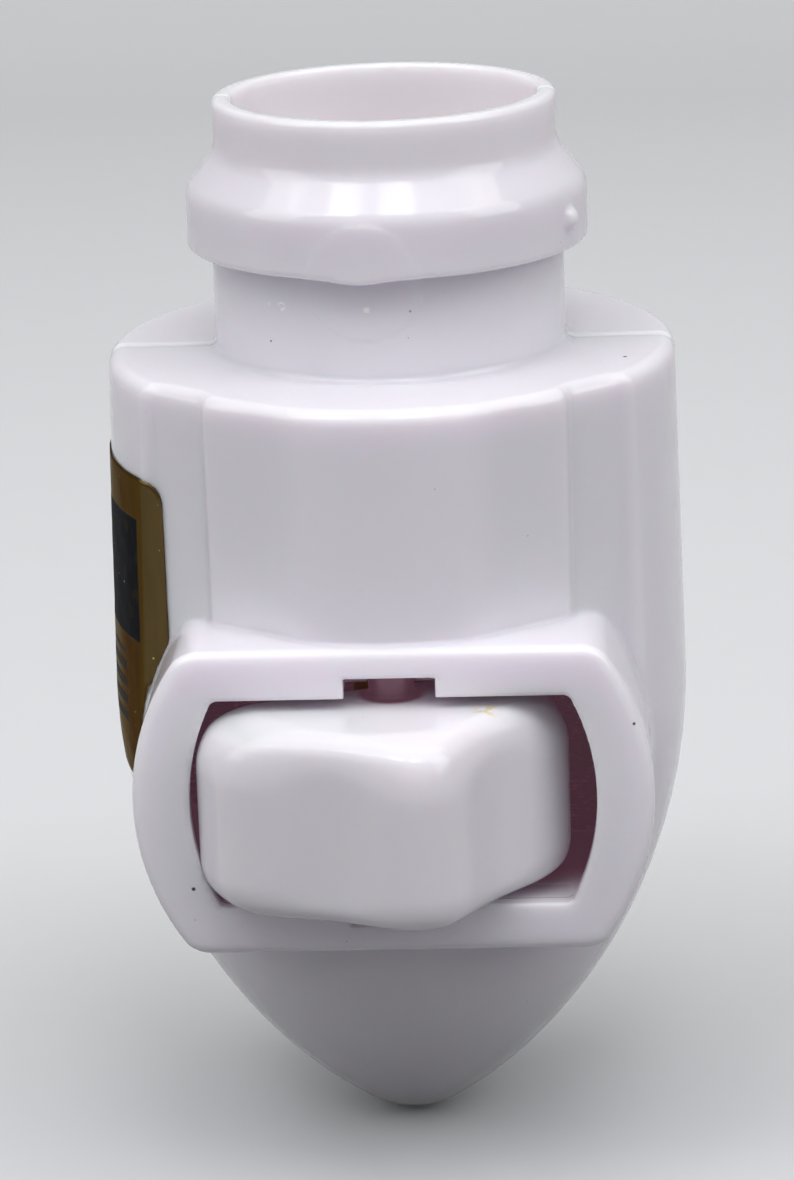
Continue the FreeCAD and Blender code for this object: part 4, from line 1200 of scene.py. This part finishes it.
class AddLabel(Builder):
    """Adds the foil seal wrapped over the seam on the left flank"""

    bl_idname = "night_light.add_label"
    bl_label = "Foil seal"

    def outline(self, s, across, up):
        """Pulls a point of the unit square in to the seal's round corners."""
        wide = (s.front + s.back) * settings("body").waist_radius / 2
        tall = (s.bottom - s.top) / 2
        x = (across * 2 - 1) * wide
        z = (up * 2 - 1) * tall
        near_end = abs(z) - (tall - s.corner)
        inset = 0.0
        if near_end > 0:
            inset = s.corner - math.sqrt(max(s.corner**2 - near_end**2, 0))
        return x * (wide - inset) / wide, z

    def reach(self, b, turn, z):
        """How far the case stands out from the collar's axis at one turn and height."""
        out = b.waist_radius
        for _ in range(8):
            place = [np.array(v) for v in (-out * math.cos(turn), -out * math.sin(turn), out)]
            out -= float(np.maximum(hull_side(b, place[2], np.array(z)), front_plan(b, *place)))
        return out

    def execute(self, context):
        s = settings("label")
        b = settings("body")
        w = settings("switch")
        columns, rows = 56, 88
        across = columns + 1
        middle = (s.front - s.back) / 2
        middle_z = -(s.top + s.bottom) / 2
        vertices, spread = [], []
        gap = 0.03 * MM
        ripple = 0.012 * MM
        clear = 0.3 * MM
        for lift in (gap, gap + s.thick):
            for row in range(rows + 1):
                for column in range(columns + 1):
                    flat_x, flat_z = self.outline(s, column / columns, row / rows)
                    z = middle_z + flat_z
                    turn = middle + flat_x / b.waist_radius
                    level = abs(z + SWITCH_DROP)
                    if level < w.half + clear:
                        reach = math.sqrt((w.radius + clear) ** 2 - level**2)
                        turn = min(turn, math.acos(min(1.0, reach / b.waist_radius)))
                    out = self.reach(b, turn, z) + lift
                    out += ripple * math.sin(turn * 31 + z * 900) * math.sin(z * 1700)
                    vertices.append((-out * math.cos(turn), -out * math.sin(turn), z))
                    spread.append((column / columns, row / rows))
        faces = []
        sheet = across * (rows + 1)
        for row in range(rows):
            for column in range(columns):
                a = row * across + column
                ring = [a, a + 1, a + across + 1, a + across]
                faces.append(ring[::-1])
                faces.append([v + sheet for v in ring])
        border = list(range(across))
        border += [row * across + columns for row in range(1, rows + 1)]
        border += [rows * across + column for column in range(columns - 1, -1, -1)]
        border += [row * across for row in range(rows - 1, 0, -1)]
        for here, after in zip(border, border[1:] + border[:1]):
            faces.append([here, after, after + sheet, here + sheet])
        made = new_object("foil_seal", vertices, faces, CASE)
        layer = made.data.uv_layers.new(name="Seal")
        for loop in made.data.loops:
            layer.data[loop.index].uv = spread[loop.vertex_index]
        finish = settings("finish")
        fit(made, "case", "foil", seal_foil("Seal foil", finish.foil, finish.print), "foil_label")
        return {"FINISHED"}


class FinishInside(Builder):
    """Softens the edges of the pieces inside the case and gives each its finish"""

    bl_idname = "night_light.finish_inside"
    bl_label = "Inner pieces"

    def soften(self, node, width):
        weld = node.modifiers.new("Weld", "WELD")
        weld.merge_threshold = 0.002 * MM
        bevel = node.modifiers.new("Edges", "BEVEL")
        bevel.width = width
        bevel.segments = 2
        bevel.limit_method = "ANGLE"
        bevel.angle_limit = math.radians(40)

    def execute(self, context):
        finish = settings("finish")
        sleeve = plain_plastic("Inner plastic", finish.sleeve, 0.5)
        strip = worked_metal("Strip brass", finish.brass, 0.32, (1, 1, 0.06))
        tongue = worked_metal("Tongue bronze", finish.bronze, 0.3, (1, 0.06, 1))
        silver = worked_metal("Contact silver", finish.silver, 0.22, (1, 1, 1), 0.1)
        steel = worked_metal("Spring steel", finish.steel, 0.3, (1, 1, 1), 0.1)
        finishes = {
            "plunger": sleeve,
            "blade_retainer": sleeve,
            "switch_base": pressed_board("Contact board", finish.board),
            "contact_insulator": pressed_board("Socket board", finish.board),
            "seesaw_contact": strip,
            "cradle_terminal": strip,
            "load_terminal": strip,
            "moving_contact_rivet": silver,
            "fixed_contact_rivet": silver,
            "centre_rivet": strip,
            "centre_contact": tongue,
            "seesaw_pin": steel,
            "neutral_lead": lead_cover("White lead", finish.white_lead),
            "line_lead": lead_cover("Black lead", finish.black_lead),
            "load_lead": lead_cover("Switched lead", finish.black_lead),
        }
        smooth = {"neutral_lead", "line_lead", "load_lead"}
        for name, material in finishes.items():
            node = frame["nodes"][name]
            node.data.materials.clear()
            node.data.materials.append(material)
            if name not in smooth:
                self.soften(node, 0.06 * MM)
        return {"FINISHED"}


class SetStage(Builder):
    """Adds the pale floor and backdrop, the soft lights and the camera"""

    bl_idname = "night_light.set_stage"
    bl_label = "Stage"

    def backdrop(self, colour):
        """One sheet: floor, a wide curve and a wall behind."""
        floor_z = CAD_BOX[0].z - 0.3 * MM
        half_width, front, bend_y, bend, top = 1.6, -0.9, 0.35, 0.25, 1.3
        profile = [(front, 0.0), (bend_y, 0.0)]
        turns = 16
        for number in range(1, turns + 1):
            turn = math.pi / 2 * number / turns
            profile.append((bend_y + bend * math.sin(turn), bend * (1 - math.cos(turn))))
        profile.append((bend_y + bend, top))
        vertices = [(x, y, floor_z + z) for x in (-half_width, half_width) for y, z in profile]
        count = len(profile)
        faces = [[n, n + count, n + count + 1, n + 1] for n in range(count - 1)]
        sheet = new_object("backdrop", vertices, faces)
        paint = Paint("Backdrop paper", colour, 0.9)
        tooth = paint.noise(300, 3)
        pale = paint.mix(tooth, shade(colour, 0.99), shade(colour, 1.01))
        seen = sum(paint.add("ShaderNodeLightPath", output=f"Is {ray} Ray")
                   for ray in ("Camera", "Glossy", "Transmission"))
        paint.colour_from(paint.mix(seen, shade(colour, 0.19), pale))
        sheet.data.materials.append(paint.material)

    def soft_box(self, name, place, width, height, power):
        """A rectangular lamp that faces the middle of the case."""
        aim = Vector((0, -0.02, 0))
        lamp = bpy.data.lights.new(name, "AREA")
        lamp.shape = "RECTANGLE"
        lamp.size = width
        lamp.size_y = height
        lamp.energy = power
        made = bpy.data.objects.new(name, lamp)
        made.location = place
        made.rotation_euler = (aim - Vector(place)).to_track_quat("-Z", "Y").to_euler()
        bpy.context.scene.collection.objects.link(made)

    def camera(self, s):
        """The camera stands where the photograph was taken from."""
        forward = Vector((
            math.sin(s.aside) * math.cos(s.above),
            math.cos(s.aside) * math.cos(s.above),
            -math.sin(s.above),
        ))
        right = Vector((math.cos(s.aside), -math.sin(s.aside), 0))
        up = right.cross(forward)
        across = right * math.cos(s.roll) + up * math.sin(s.roll)
        upward = up * math.cos(s.roll) - right * math.sin(s.roll)
        lens = bpy.data.cameras.new("Camera")
        lens.lens = s.lens
        lens.clip_start = 0.01
        lens.clip_end = 20
        made = bpy.data.objects.new("Camera", lens)
        facing = Matrix((across, upward, -forward)).transposed().to_4x4()
        made.matrix_world = Matrix.Translation(CAMERA_STAND) @ facing
        bpy.context.scene.collection.objects.link(made)
        bpy.context.scene.camera = made

    def execute(self, context):
        s = settings("stage")
        self.backdrop(settings("finish").floor)
        for lamp in LAMPS:
            self.soft_box(*lamp)
        world = bpy.data.worlds.new("Studio")
        world.use_nodes = True
        even = world.node_tree.nodes["Background"]
        even.inputs["Color"].default_value = (1, 1, 1, 1)
        even.inputs["Strength"].default_value = s.sky
        context.scene.world = world
        context.scene.view_settings.view_transform = "Standard"
        self.camera(s)
        return {"FINISHED"}


STEPS = [AddShells, AddRocker, AddSpring, AddSocket, AddPlug, AddLabel, FinishInside, SetStage]


class NightLightPanel(bpy.types.Panel):
    """Lists the sizes, the colours and the building steps."""

    bl_idname = "VIEW3D_PT_night_light"
    bl_label = "Night Light"
    bl_space_type = "VIEW_3D"
    bl_region_type = "UI"
    bl_category = "Night Light"

    def draw(self, context):
        for step in STEPS:
            self.layout.operator(step.bl_idname)
        for name, group in GROUPS.items():
            box = self.layout.box()
            box.label(text=name.capitalize())
            for field in group.__annotations__:
                box.prop(settings(name), field)


CLASSES = [*GROUPS.values(), *STEPS, NightLightPanel]


def register():
    for made in CLASSES:
        bpy.utils.register_class(made)
    for name, group in GROUPS.items():
        pointer = bpy.props.PointerProperty(type=group)
        setattr(bpy.types.Scene, "night_light_" + name, pointer)


def unregister():
    for name in GROUPS:
        delattr(bpy.types.Scene, "night_light_" + name)
    for made in reversed(CLASSES):
        bpy.utils.unregister_class(made)


def main():
    register()
    for step in STEPS:
        group, name = step.bl_idname.split(".")
        getattr(getattr(bpy.ops, group), name)()


if __name__ == "__main__":
    main()
